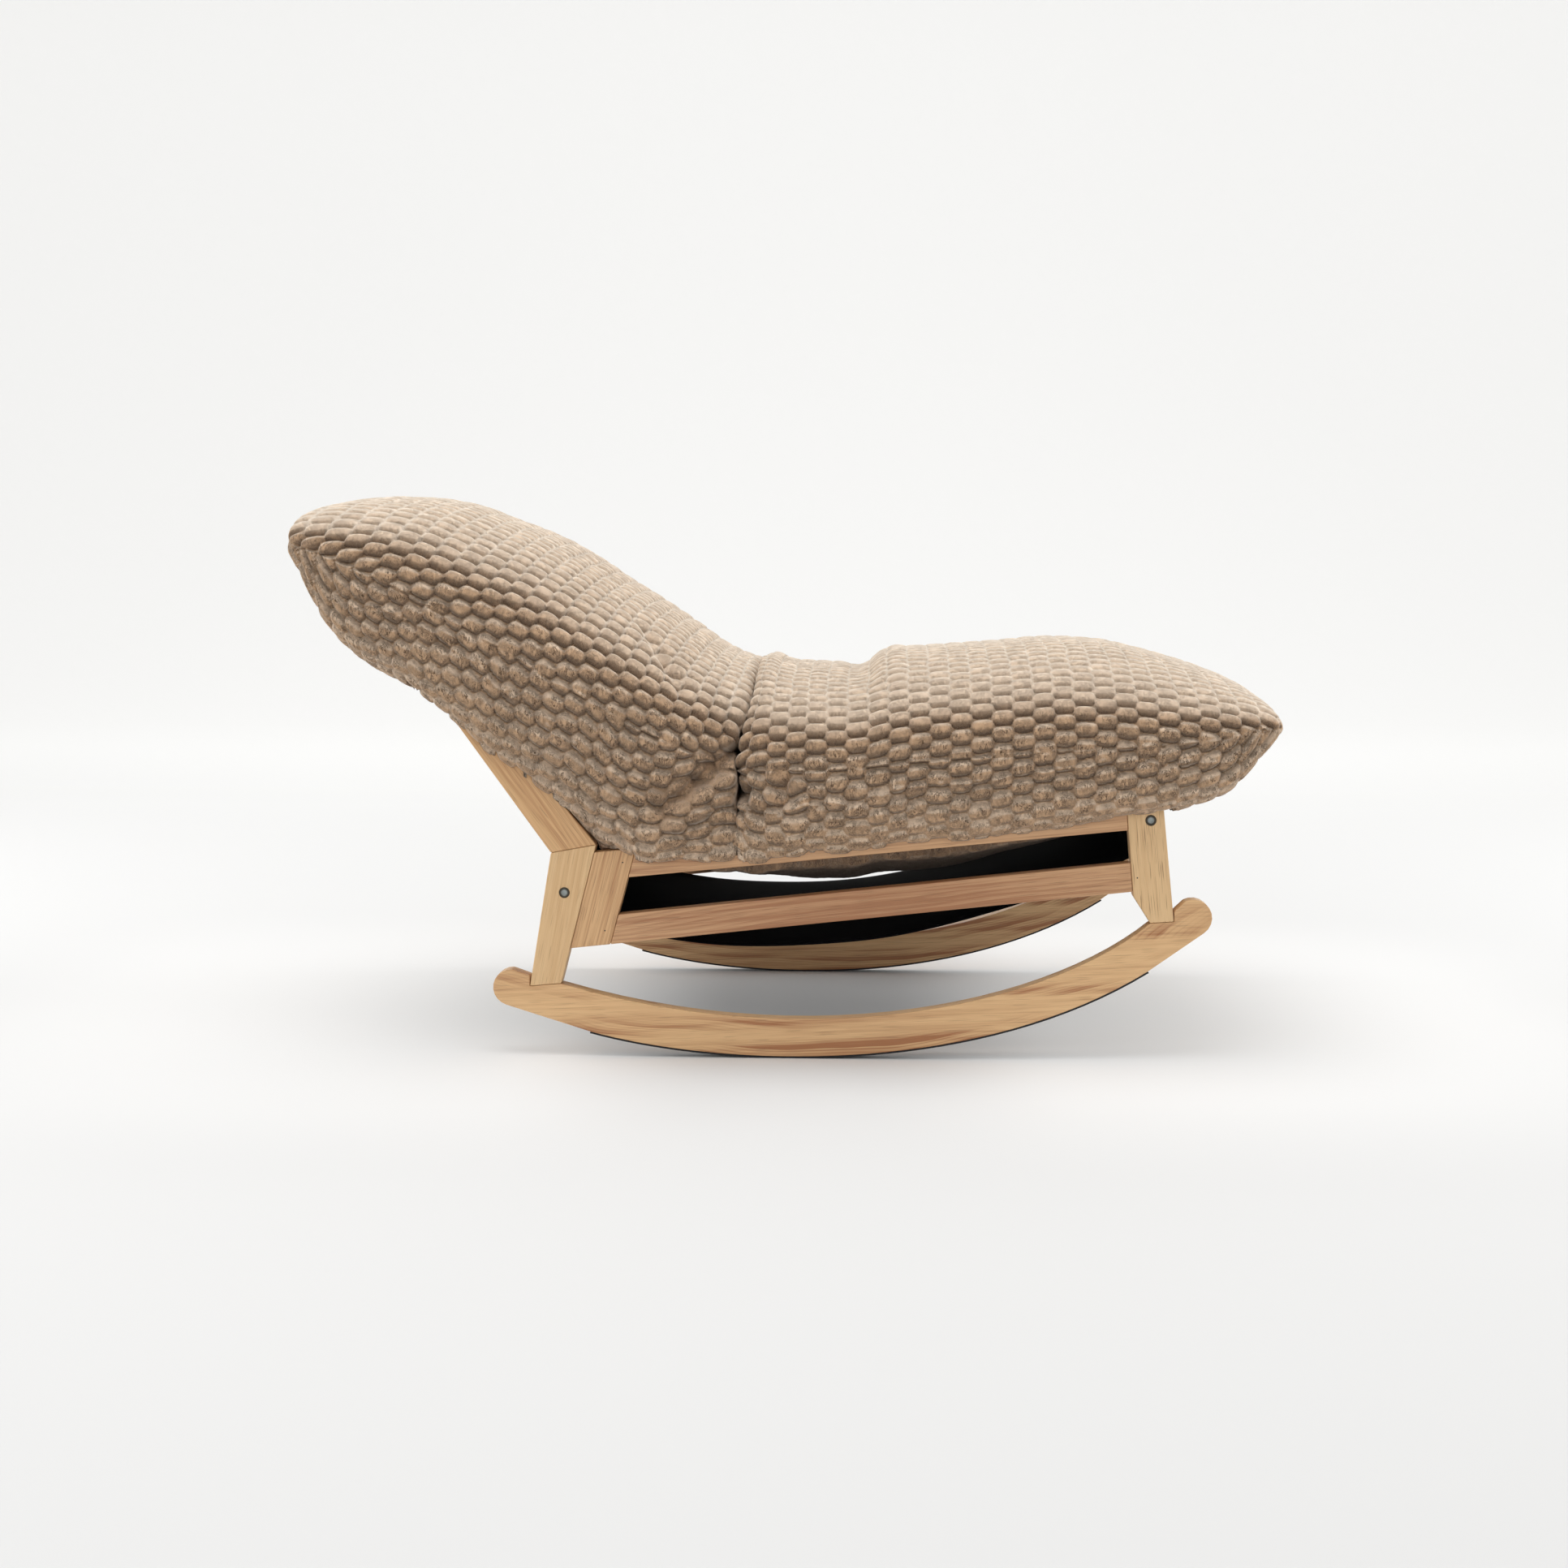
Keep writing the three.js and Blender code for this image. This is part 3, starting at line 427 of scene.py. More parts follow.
# plush: curly cut pile in raised bumps, with painted shade in the valleys and painted light on top
plushLook = {
    # tip: the pale fibre tips, also used as painted light on the top and on up-facing pile; deep: painted
    # shade in the valleys and under the pads, and the pile's dark splits; grazing: painted sheen, and the
    # pale lines between the bands
    "tip": (0.80, 0.63, 0.475),
    "body": (0.56, 0.358, 0.213),
    "deep": (0.125, 0.074, 0.044),
    "grazing": (0.97, 0.86, 0.73),
    # painted shade: the dark, thread-textured colour of the underside, which lies in shade
    "shadedUnderside": (0.085, 0.052, 0.033),
    "shadedUndersideDark": (0.05, 0.03, 0.019),
    "roughness": 0.95,
    "specular": 0.1,
    "sheen": 0.25,
    "sheenRoughness": 0.4,
    "sheenTint": (1.0, 0.92, 0.82),
    "curl": 2.6 * mm,  # one curl of the pile
    "tuftsPerCurl": 0.42,
    "threadsPerCurl": 2.2,  # on the painted shade underneath
    "fuzz": 0.8 * mm,  # single fibres
    "speck": 3.0 * mm,  # dark splits between the fibres
    "standing": (1, 1, 0.4),  # the splits are drawn out upward
    "patch": 11 * mm,  # patches where the pile opens
    "speckPatches": 0.9,
    "crackLevel": 0.5,
    "splitLevel": 0.47,
    # painted shade: valleyTone is how light the valleys are painted
    "valleyTone": 0.5,
    "pileTone": 0.28,  # painted light and shade: added from the valleys to the tops of the pads
    "crackDark": 0.36,
    "bumpStrength": 0.8,
    "bumpDepth": 2 * mm,
    "fuzzHeight": 0.65,  # shares of the bump
    "tuftHeight": 0.65,
    "splitHeight": 0.7,
}
plushRanges = {  # a value's start and end, then the results there where they aren't 0 and 1
    "crack": (0.05, 0.012),
    "crackPatch": (0.36, 0.6),
    "split": (0.05, 0.005),
    "dimple": (0.44, 0.32, 0.0, 0.55),
    "speckPatch": (0.38, 0.6, 0.25, 1.0),
    "speckPile": (0.15, 0.8, 0.25, 1.0),
    # painted shade and painted light, from how the pile faces
    "tiltShade": (-0.03, -0.6, 0.0, 0.42),
    "tiltLight": (0.02, 0.5, 0.0, 0.6),
    "tiltPaintedLight": (0.04, 0.5, 0.0, 0.8),
    "upLight": (0.35, 0.95, 0.0, 0.25),
    "upPaintedLight": (0.3, 0.9),
    "depth": (0.0, 0.72),
    "fuzzTip": (0.38, 0.7, 0.0, 0.32),
    "pileTip": (1.2, 0.0, 0.7, 1.0),
    "upLine": (0.55, 0.95, 0.0, 0.75),
    "facing": (0.42, 1.0),
    "upEdge": (-0.5, 1.0, 0.3, 0.9),
    "combed": (0.05, 0.75, 1.0, 0.12),  # the pile lies flat on top
}
plush, plushTree, plushShader = material("plush", plushLook["body"], plushLook["roughness"])
plushPlace = objectPlace(plushTree)


def plushCut(value, kind):
    return remap(plushTree, value, *plushRanges[kind])


def plushTimes(first, *others):
    for other in others:
        first = times(plushTree, first, other)
    return first


# what the mesh says: height of the pad, how far it faces up, how far more than the smooth cushion
pile = attribute(plushTree, "pile")
upward = attribute(plushTree, "upward")
tilt = attribute(plushTree, "tilt")
# the pile: curls that crack open in patches, tufts, single fibres, splits
curls = noise(plushTree, plushPlace, 1 / plushLook["curl"], 2.0, 0.6, 0.9)
patches = noise(plushTree, plushPlace, 1 / plushLook["patch"], 1.0)
tufts = noise(plushTree, plushPlace, plushLook["tuftsPerCurl"] / plushLook["curl"], 2.0, 0.6, 1.0)
threads = noise(plushTree, plushPlace, plushLook["threadsPerCurl"] / plushLook["curl"], 1.0)
fuzz = noise(plushTree, plushPlace, 1 / plushLook["fuzz"], 1.0, 0.6)
cracks = plushCut(awayFrom(plushTree, curls, plushLook["crackLevel"]), "crack")
cracks = plushTimes(cracks, plushCut(patches, "crackPatch"))
standing = node(
    plushTree, "ShaderNodeMapping", {"Vector": plushPlace, "Scale": plushLook["standing"]},
).outputs[0]
splitField = noise(plushTree, standing, 1 / plushLook["speck"], 2.0, 0.6, 0.3)
splits = plushCut(awayFrom(plushTree, splitField, plushLook["splitLevel"]), "split")
specks = plus(plushTree, splits, plushCut(splitField, "dimple"), True)
speckPatches = noise(plushTree, plushPlace, plushLook["speckPatches"] / plushLook["patch"], 2.0)
specks = plushTimes(specks, plushCut(speckPatches, "speckPatch"))
combed = plushCut(upward, "combed")
# depth: painted shade between and under the pads, painted light on their tops and on the cushion's top
depth = plus(plushTree, plushTimes(pile, plushLook["pileTone"]), plushLook["valleyTone"])
depth = minus(plushTree, depth, plushCut(tilt, "tiltShade"))
depth = plus(plushTree, depth, plushCut(tilt, "tiltLight"))
depth = plus(plushTree, depth, plushCut(upward, "upLight"))
# painted light and sheen: the cushion's top is paler where it faces up
paintedTopLight = blendColour(plushTree, plushCut(upward, "upPaintedLight"), plushLook["body"], plushLook["tip"])
plushColour = blendColour(plushTree, plushCut(depth, "depth"), plushLook["deep"], paintedTopLight)
# painted light: pile that faces further up than the cushion takes the pale tip colour
plushColour = blendColour(plushTree, plushCut(tilt, "tiltPaintedLight"), plushColour, plushLook["tip"])
tipAmount = plushTimes(plushCut(fuzz, "fuzzTip"), plushCut(pile, "pileTip"))
plushColour = blendColour(plushTree, tipAmount, plushColour, plushLook["tip"])
crackAmount = plushTimes(cracks, plushLook["crackDark"], combed)
plushColour = blendColour(plushTree, crackAmount, plushColour, plushLook["deep"])
speckAmount = plushTimes(specks, combed, plushCut(pile, "speckPile"))
plushColour = blendColour(plushTree, speckAmount, plushColour, plushLook["deep"])
# painted sheen: pale where the pile is seen at a grazing angle, and on the lines between the bands on top
facing = node(plushTree, "ShaderNodeLayerWeight", {"Blend": 0.5}).outputs["Facing"]
edgeAmount = plushTimes(plushCut(facing, "facing"), plushCut(upward, "upEdge"))
plushColour = blendColour(plushTree, edgeAmount, plushColour, plushLook["grazing"])
lineAmount = plushTimes(attribute(plushTree, "bandLine"), plushCut(upward, "upLine"))
plushColour = blendColour(plushTree, lineAmount, plushColour, plushLook["grazing"])
# painted shade: the underside takes a dark, thread-textured colour
undersideShadeTone = blendColour(plushTree, threads, plushLook["shadedUnderside"], plushLook["shadedUndersideDark"])
plushColour = blendColour(plushTree, attribute(plushTree, "shadedUnderside"), plushColour, undersideShadeTone)
plushTree.links.new(plushColour, plushShader.inputs["Base Color"])
plushHeight = plus(
    plushTree, plushTimes(fuzz, plushLook["fuzzHeight"]),
    plushTimes(tufts, combed, plushLook["tuftHeight"]),
)
splitDepth = plushTimes(plus(plushTree, cracks, specks), plushLook["splitHeight"])
plushHeight = minus(plushTree, plushHeight, splitDepth)
addBump(plushTree, plushShader, plushHeight, plushLook["bumpStrength"], plushLook["bumpDepth"])
plushShader.inputs["Sheen Weight"].default_value = plushLook["sheen"]
plushShader.inputs["Sheen Roughness"].default_value = plushLook["sheenRoughness"]
plushShader.inputs["Sheen Tint"].default_value = (*plushLook["sheenTint"], 1)
plushShader.inputs["Specular IOR Level"].default_value = plushLook["specular"]


def addPiece(name, mesh, body, finish, stoodFor=()):
    piece = bpy.data.objects.new(name, mesh)
    scene.collection.objects.link(piece)
    mesh.materials.clear()
    mesh.materials.append(finish)
    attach(piece, body)
    if stoodFor:
        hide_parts(*stoodFor)
    return piece


def meshFrom(form, name):
    mesh = bpy.data.meshes.new(name)
    form.to_mesh(mesh)
    form.free()
    return mesh


print("wooden frame")

# boards: the CAD solids with their long edges eased
boardLook = {
    "easing": 1.5 * mm,
    "easingSegments": 2,
    "shortestEdge": 4.0 * mm,  # edges of bolt holes and bores stay sharp
    "weld": 0.002 * mm,
    "flatAngle": 0.4,  # degrees; faces that lie flatter than this are joined
    "sharpAngle": 24,
    "shadeAngle": 32,
}


def easedBoard(nodeName, finish):
    form = bmesh.new()
    form.from_mesh(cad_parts[nodeName].data)
    bmesh.ops.remove_doubles(form, verts=form.verts, dist=boardLook["weld"])
    bmesh.ops.dissolve_limit(
        form, angle_limit=math.radians(boardLook["flatAngle"]), verts=form.verts, edges=form.edges,
    )
    limit = math.radians(boardLook["sharpAngle"])
    edges = [
        e for e in form.edges
        if e.calc_length() > boardLook["shortestEdge"] and len(e.link_faces) == 2
        and e.calc_face_angle(0) > limit
    ]
    bmesh.ops.bevel(
        form, geom=edges, offset=boardLook["easing"], segments=boardLook["easingSegments"],
        profile=0.5, affect="EDGES", clamp_overlap=True, material=-1,
    )
    mesh = meshFrom(form, nodeName + "_board")
    mesh.shade_smooth()
    mesh.set_sharp_from_angle(angle=math.radians(boardLook["shadeAngle"]))
    piece = addPiece(nodeName + "_board", mesh, "frame", finish, [nodeName])
    shading = piece.modifiers.new("evenShading", "WEIGHTED_NORMAL")
    shading.keep_sharp = True


boardSlots = {
    "runner": "runner_wood", "rear_leg": "leg_wood", "back_post": "leg_wood", "rear_stile": "leg_wood",
    "upper_side_rail": "rail_wood", "lower_side_rail": "rail_wood", "front_leg": "leg_wood",
}
for side in ("left", "right"):
    for boardName, slotName in boardSlots.items():
        easedBoard(side + "_" + boardName, woods[boardName])
for railName in ("rear_rail", "front_rail", "top_bar"):
    easedBoard(railName, crossWood)

# the hidden dowels and nuts and the strips keep their CAD shape
for nodeName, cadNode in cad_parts.items():
    finish = None
    if nodeName.endswith("_dowel"):
        finish = crossWood
    elif nodeName.endswith("_nut"):
        finish = steel
    elif nodeName.endswith("_strip"):
        finish = rubber
    if finish:
        cadNode.data.materials.clear()
        cadNode.data.materials.append(finish)

# bolts: dished heads with a hex socket, with a painted glint in the dish and socket
boltLook = {
    "segments": 24,
    "headRadius": 6.35 * mm,
    "headHeight": 2.4 * mm,
    "rim": 1.9 * mm,
    "rimFall": 0.6 * mm,
    "dish": 0.5 * mm,
    "shankRadius": 3 * mm,
    "socket": 2.5 * mm,  # half the hexagon's width over its flats
    "socketDepth": 1.9 * mm,
    "paintedGlint": (0.0, 0.3, 1.0),  # painted glint: how pale the head, the dish and the socket are
    "shadeAngle": 28,  # degrees
}


def boltPiece(nodeName):
    low, high = (Vector(corner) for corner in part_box(nodeName))
    length = high.y - low.y
    outward = math.copysign(1, low.y + high.y)
    look = boltLook
    turned = [  # radius, depth below the outer face, hexagonal or round
        (look["shankRadius"], look["headHeight"], False),
        (look["headRadius"], look["headHeight"], False),
        (look["headRadius"], look["rimFall"], False),
        (look["headRadius"] - look["rimFall"], 0.0, False),
        (look["headRadius"] - look["rim"], 0.0, False),
        (look["headRadius"] - look["rim"] - look["dish"], look["dish"], False),
        (look["socket"], look["dish"], True),
        (look["socket"], look["dish"] + look["socketDepth"], True),
    ]
    form = bmesh.new()
    # painted glint: each vertex gets its share of the paler steel colour
    glint = form.verts.layers.float.new("paintedGlint")
    made = bmesh.ops.create_circle(
        form, cap_ends=True, segments=look["segments"], radius=look["shankRadius"],
    )
    bmesh.ops.translate(form, verts=made["verts"], vec=(0, 0, -length))
    edges = list(form.edges)
    for radius, depth, hexagonal in turned:
        made = bmesh.ops.extrude_edge_only(form, edges=edges)
        for vert in (g for g in made["geom"] if isinstance(g, bmesh.types.BMVert)):
            turn = math.atan2(vert.co.y, vert.co.x)
            flat = math.cos((turn + math.pi / 6) % (math.pi / 3) - math.pi / 6)
            reach = radius / flat if hexagonal else radius
            vert.co = (reach * math.cos(turn), reach * math.sin(turn), -depth)
            vert[glint] = look["paintedGlint"][hexagonal + (radius < look["headRadius"] - look["rim"])]
        edges = [g for g in made["geom"] if isinstance(g, bmesh.types.BMEdge)]
        edges = [e for e in edges if e.is_boundary]
    bmesh.ops.holes_fill(form, edges=edges, sides=0)
    bmesh.ops.recalc_face_normals(form, faces=form.faces)
    turnOut = Matrix.Rotation(-outward * math.pi / 2, 4, "X")
    middle = Vector(((low.x + high.x) / 2, high.y if outward > 0 else low.y, (low.z + high.z) / 2))
    bmesh.ops.transform(form, matrix=Matrix.Translation(middle) @ turnOut, verts=form.verts)
    mesh = meshFrom(form, nodeName + "_turned")
    mesh.shade_smooth()
    mesh.set_sharp_from_angle(angle=math.radians(look["shadeAngle"]))
    addPiece(nodeName + "_turned", mesh, "frame", steel, [nodeName])


for side in ("left", "right"):
    for boltName in ("rear_rail_bolt", "front_rail_bolt", "top_bar_bolt"):
        boltPiece(side + "_" + boltName)

# pins: small dark heads of the nails that hold the stiles and front legs
pinLook = {
    "segments": 12,
    "radius": 0.9 * mm,
    "proud": 0.15 * mm,
    "length": 6 * mm,
    "places": {  # x and z on the outer face of each board
        "rear_stile": ((-0.1899, 0.2348), (-0.2118, 0.1528)),
        "front_leg": ((0.4180, 0.2201),),
    },
}
pinForm = bmesh.new()
for side, outward in (("left", 1), ("right", -1)):
    for boardName, places in pinLook["places"].items():
        low, high = (Vector(corner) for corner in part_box(side + "_" + boardName))
        face = high.y if outward > 0 else low.y
        for x, z in places:
            middle = Vector((x, face + outward * (pinLook["proud"] - pinLook["length"] / 2), z))
            bmesh.ops.create_cone(
                pinForm, cap_ends=True, segments=pinLook["segments"],
                radius1=pinLook["radius"], radius2=pinLook["radius"], depth=pinLook["length"],
                matrix=Matrix.Translation(middle) @ Matrix.Rotation(math.pi / 2, 4, "X"),
            )
addPiece("pin_heads", meshFrom(pinForm, "pin_heads"), "frame", steel)

print("slings")

# slings: one strip of cloth each, sewn round its rails
slingLook = {
    "thickness": 1.6 * mm,
    "gap": 1.3 * mm,  # from the wood to the middle of the cloth
    "acrossSegments": 40,
    "step": 9 * mm,
    "ripple": 1.2 * mm,
    "rippleAlong": 31,  # radians per metre
    "rippleSlant": 9,
    "rippleAcross": 17,
    "rippleStart": 2,
    "seatHalfWidth": 272 * mm,
    "seatSag": 66 * mm,
    "backHalfWidth": 250 * mm,
    "backSag": 10 * mm,
    "backGap": 2.2 * mm,  # the back cloth ends over the seat cloth's sleeve
    "hangingSteps": 40,
}
railCorners = {  # bottom rear, bottom front, top front, top rear, as x and z
    "rear": ((-0.27716, 0.17012), (-0.25564, 0.16559), (-0.24285, 0.22625), (-0.26438, 0.23079)),
    "front": ((0.42542, 0.24933), (0.44732, 0.25138), (0.44154, 0.31311), (0.41964, 0.31106)),
}
barLook = {
    "middle": (-0.42004, 0.47232),
    "radius": 14.6 * mm,  # to the middle of the cloth round it
    "turn": (20, 396),  # degrees
    "points": 34,
}


def grown(corners, distance):
    middle = np.mean(corners, axis=0)
    along = np.subtract(corners[1], corners[0])
    along = along / np.linalg.norm(along)
    up = np.array([-along[1], along[0]])
    return [
        c + distance * (np.sign((c - middle) @ along) * along + np.sign((c - middle) @ up) * up)
        for c in np.array(corners)
    ]


def pathLengths(*axes):
    steps = np.sqrt(sum(np.diff(axis) ** 2 for axis in axes))
    return np.concatenate([[0], np.cumsum(steps)])


def evenPath(points, step):
    points = np.array(points, float)
    lengths = pathLengths(points[:, 0], points[:, 1])
    at = np.linspace(0, lengths[-1], max(2, round(lengths[-1] / step)) + 1)
    return np.stack([np.interp(at, lengths, points[:, axis]) for axis in (0, 1)], 1), lengths[-1]


def hanging(start, end, sag):
    t = np.linspace(0, 1, slingLook["hangingSteps"] + 1)[:, None]
    row = np.array(start) * (1 - t) + np.array(end) * t
    row[:, 1] -= (4 * sag * t * (1 - t))[:, 0]
    return list(row)


def slingPiece(name, path, halfWidth, stoodFor):
    row, length = evenPath(path, slingLook["step"])
    count = len(row) - 1
    form = bmesh.new()
    bmesh.ops.create_grid(form, x_segments=count, y_segments=slingLook["acrossSegments"], size=0.5)
    clothUV = form.loops.layers.uv.new("clothUV")
    for face in form.faces:
        for loop in face.loops:
            place = loop.vert.co
            loop[clothUV].uv = ((place.x + 0.5) * length, (place.y + 0.5) * 2 * halfWidth)
    for vert in form.verts:
        x, z = row[round((vert.co.x + 0.5) * count)]
        y = 2 * halfWidth * vert.co.y
        edge = abs(vert.co.y) * 2
        wave = math.sin(slingLook["rippleAlong"] * x + slingLook["rippleSlant"] * y)
        wave *= math.sin(slingLook["rippleAcross"] * y + slingLook["rippleStart"])
        vert.co = (x, y, z + wave * slingLook["ripple"] * edge)
    bmesh.ops.recalc_face_normals(form, faces=form.faces)
    mesh = meshFrom(form, name)
    mesh.shade_smooth()
    piece = addPiece(name, mesh, "frame", cloth, [stoodFor])
    wall = piece.modifiers.new("clothThickness", "SOLIDIFY")
    wall.thickness = slingLook["thickness"]
    wall.offset = 0
    print("  ", name, round(2 * halfWidth, 4), "wide,", round(float(length), 4), "long")


# seat: once round the rear rail, down and up to the front rail, and once round it
rearLoop = grown(railCorners["rear"], slingLook["gap"])
frontLoop = grown(railCorners["front"], slingLook["gap"])
seatHang = hanging(
    rearLoop[1] + np.array([0.002, -0.002]), frontLoop[0] + np.array([-0.002, -0.002]), slingLook["seatSag"],
)
seatPath = [
    rearLoop[1] + np.array([-0.003, 0.0006]), rearLoop[0], rearLoop[3], rearLoop[2],
    rearLoop[1] + np.array([0.001, -0.001]), *seatHang,
    frontLoop[3], frontLoop[2], frontLoop[1], frontLoop[0] + np.array([0.003, 0.0003]),
]
slingPiece(
    "seat_sling_cloth", seatPath, slingLook["seatHalfWidth"], "seat_sling",
)
# back: once round the top bar and down to the rear rail
barTurn = [
    np.array(barLook["middle"]) + barLook["radius"] * np.array([math.cos(a), math.sin(a)])
    for a in np.radians(np.linspace(*barLook["turn"], barLook["points"]))
]
backEnd = grown(railCorners["rear"], slingLook["gap"] + slingLook["backGap"])[2]
backHang = hanging(barTurn[-1] + np.array([0.002, -0.001]), backEnd, slingLook["backSag"])
slingPiece(
    "back_sling_cloth", barTurn + backHang[1:], slingLook["backHalfWidth"], "back_sling",
)

print("cushions")

# cushions: crowned plush forms; each ring joins crown, side seam and belly
plushForm = {
    "band": 24.2 * mm,  # one bump along the cushion
    "row": 22.4 * mm,  # one bump round the cushion
    "bandCells": 14,
    "rowCells": 12,
    "halfGirth": 850 * mm,  # for the number of rows
    "girthSamples": 721,
    "halfWidth": 328 * mm,
    "roundness": 3.0,
    "dome": 0.16,  # share of the crown's height that rises slowly to the middle
    "domePower": 1.6,
    "fill": 0.75,
    "weld": 0.001 * mm,
}
padLook = {
    "relief": 9.0 * mm,
    "sink": 7.7 * mm,  # the pads' feet lie this far inside the smooth form
    "reach": 0.42,  # half of a pad's height, as a share of a row
    "lowReach": 0.40,  # the same under the side seam, where the pads part
    "halfLength": 0.57,  # half of a pad's length, as a share of a band
    "powers": (2.6, 3.0),  # how square a pad is round and along the cushion
    "crown": 0.48,  # how fast it rounds off to its edge
    "size": (0.95, 0.1),  # smallest pad, and how much larger some are
    "stray": 0.9,  # mm that single pads stray round the cushion
    "warp": (1.7, 1.5),  # mm that the rows wander along and round the cushion
    "curl": 0.5 * mm,
    "lineWidth": 2.2,  # mm, the pale lines between bands
    "undersideRelief": 0.12,  # shares of the relief: on the plain underside, which is coloured in painted shade
    "topRelief": 0.42,  # where the pile lies flat on top
    "underRelief": 0.35,  # share that is lost where the belly faces down
    "tipRelief": 0.55,  # at the tip
    "tipReach": 110 * mm,
}
seamLook = {
    "depth": 2.0 * mm,
    "width": 5 * mm,
    "ridge": 5.0 * mm,  # the seam's edge stands up unevenly
    "ridgeWidth": 3 * mm,
    "ridgeWave": 3 * mm,
    "ridgeTip": 140 * mm,  # it fades out this far before the tip
    "tipFade": 9 * mm,
    "tipInset": 4.0 * mm,
    "endWander": 2.2 * mm,  # unevenness of the rim at the crease
    "endReach": 30 * mm,
    "caps": (0, 0.35, 0.7, 0.93),  # rings that close the hidden end at the crease
}
shadedUndersideEdges = {  # where the painted shade underneath ends: none of it, all of it
    "side": (0.285, 0.265),
    "front": (0.455, 0.425),
    "rear": (-0.42, -0.38),
    "facing": (-0.25, -0.45),
}
seatSpan = {"rear": -56.4, "length": 647, "bottom": 180, "height": 320,
            "crownLean": 21, "bellyLean": 5, "leanReach": 0.12}
# shares of the length and height: along, crown, seam, belly; then width share and belly roundness
seatShares = [
    (0, 0.889, 0.516, 0.098, 0.92, 11), (0.03, 0.91, 0.516, 0.088, 0.95, 10),
    (0.08, 0.885, 0.516, 0.066, 0.976, 6.5), (0.14, 0.879, 0.517, 0.051, 0.994, 4.1),
    (0.21, 0.874, 0.525, 0.056, 1, 3.5), (0.3, 0.932, 0.546, 0.075, 1, 3.3),
    (0.4, 0.952, 0.564, 0.106, 1, 3.5), (0.5, 0.968, 0.58, 0.165, 1, 4.2),
    (0.6, 0.983, 0.594, 0.225, 1, 5.5), (0.69, 0.974, 0.603, 0.298, 1, 8),
    (0.77, 0.941, 0.613, 0.326, 1, 8), (0.84, 0.902, 0.631, 0.364, 0.995, 8),
    (0.895, 0.866, 0.65, 0.409, 0.98, 8), (0.937, 0.832, 0.666, 0.5, 0.957, 7),
    (0.968, 0.797, 0.675, 0.575, 0.93, 5), (0.987, 0.76, 0.675, 0.632, 0.908, 4),
    (0.997, 0.715, 0.675, 0.658, 0.885, 3.4), (1, 0.675, 0.675, 0.675, 0.87, 3),
]
seatRings = []
for share, top, middle, belly, width, roundness in seatShares:
    seamPlace = seatSpan["rear"] + seatSpan["length"] * share
    lean = max(0, 1 - share / seatSpan["leanReach"])
    heights = [seatSpan["bottom"] + seatSpan["height"] * part for part in (top, middle, belly)]
    seatRings.append((
        seamPlace + seatSpan["crownLean"] * lean, heights[0], seamPlace, heights[1],
        seamPlace - seatSpan["bellyLean"] * lean, heights[2], width, roundness,
    ))
# crown x z, seam x z, belly x z, all in mm; then width share and belly roundness
backRings = [
    (-32, 465, -54, 345, -53, 211, 0.94, 12),
    (-58, 471, -85, 356, -102, 213, 0.955, 12),
    (-86, 482, -125, 374, -165, 211, 0.985, 10),
    (-125, 508, -172, 397, -225, 226, 0.999, 6.5),
    (-168, 538, -222, 425, -284, 269, 1, 5),
    (-215, 568, -275, 456, -343, 309, 1, 4.6),
    (-262, 600, -328, 487, -381.7, 369, 1, 8),
    (-312, 627, -378, 517, -424, 407, 1, 8),
    (-362, 647, -424, 544, -458, 436, 1, 8),
    (-412, 665, -466, 566, -492.5, 455, 0.998, 8),
    (-462, 672, -505, 583, -522.5, 478, 0.985, 8),
    (-508, 673, -540, 597, -548.4, 509, 0.96, 7),
    (-548, 670, -566, 606, -571, 557, 0.93, 6),
    (-578, 660, -583, 612, -584.5, 590, 0.905, 5),
    (-588, 642, -588.8, 615, -588.8, 598, 0.882, 4.4),
    (-590.6, 618, -590.6, 618, -590.6, 618, 0.866, 4),
]
# what the cushion rests on, as lines of x and z, and how far out from the middle they reach
restLines = [
    {"from": (-0.2236, 0.2482), "to": (0.4632, 0.3170), "inside": 0.2765, "outside": 0.3018},
    {"from": (0.4030, 0.3182), "to": (0.4632, 0.3182), "inside": 0.0, "outside": 0.3018},
    {"from": (-0.4218, 0.5030), "to": (-0.2205, 0.2565), "inside": 0.0, "outside": 0.3018},
    {"from": (-0.4482, 0.4838), "to": (-0.4218, 0.5030), "inside": 0.0, "outside": 0.3018},
]
railsMiddle = 0.29  # y of the side rails' tops


def softCurve(knots, values, at):
    # monotone cubic through the knots, so no ring swells past its neighbours
    knots, values = np.asarray(knots, float), np.asarray(values, float)
    steps, rises = np.diff(knots), np.diff(values)
    slopes = rises / steps
    tangents = np.zeros(len(knots))
    same = slopes[:-1] * slopes[1:] > 0
    weightA, weightB = 2 * steps[1:] + steps[:-1], steps[1:] + 2 * steps[:-1]
    with np.errstate(divide="ignore", invalid="ignore"):
        joined = (weightA + weightB) / (weightA / slopes[:-1] + weightB / slopes[1:])
    tangents[1:-1][same] = joined[same]
    tangents[0], tangents[-1] = slopes[0], slopes[-1]
    i = np.clip(np.searchsorted(knots, at, side="right") - 1, 0, len(steps) - 1)
    h = steps[i]
    t = np.clip((at - knots[i]) / h, 0, 1)
    return ((1 + 2 * t) * (1 - t) ** 2 * values[i] + t * (1 - t) ** 2 * h * tangents[i]
            + t * t * (3 - 2 * t) * values[i + 1] + t * t * (t - 1) * h * tangents[i + 1])


def hashed(i, j, seed):
    wide = np.sin(i * 127.1 + j * 311.7 + seed * 74.7) * 43758.5453
    return wide - np.floor(wide)


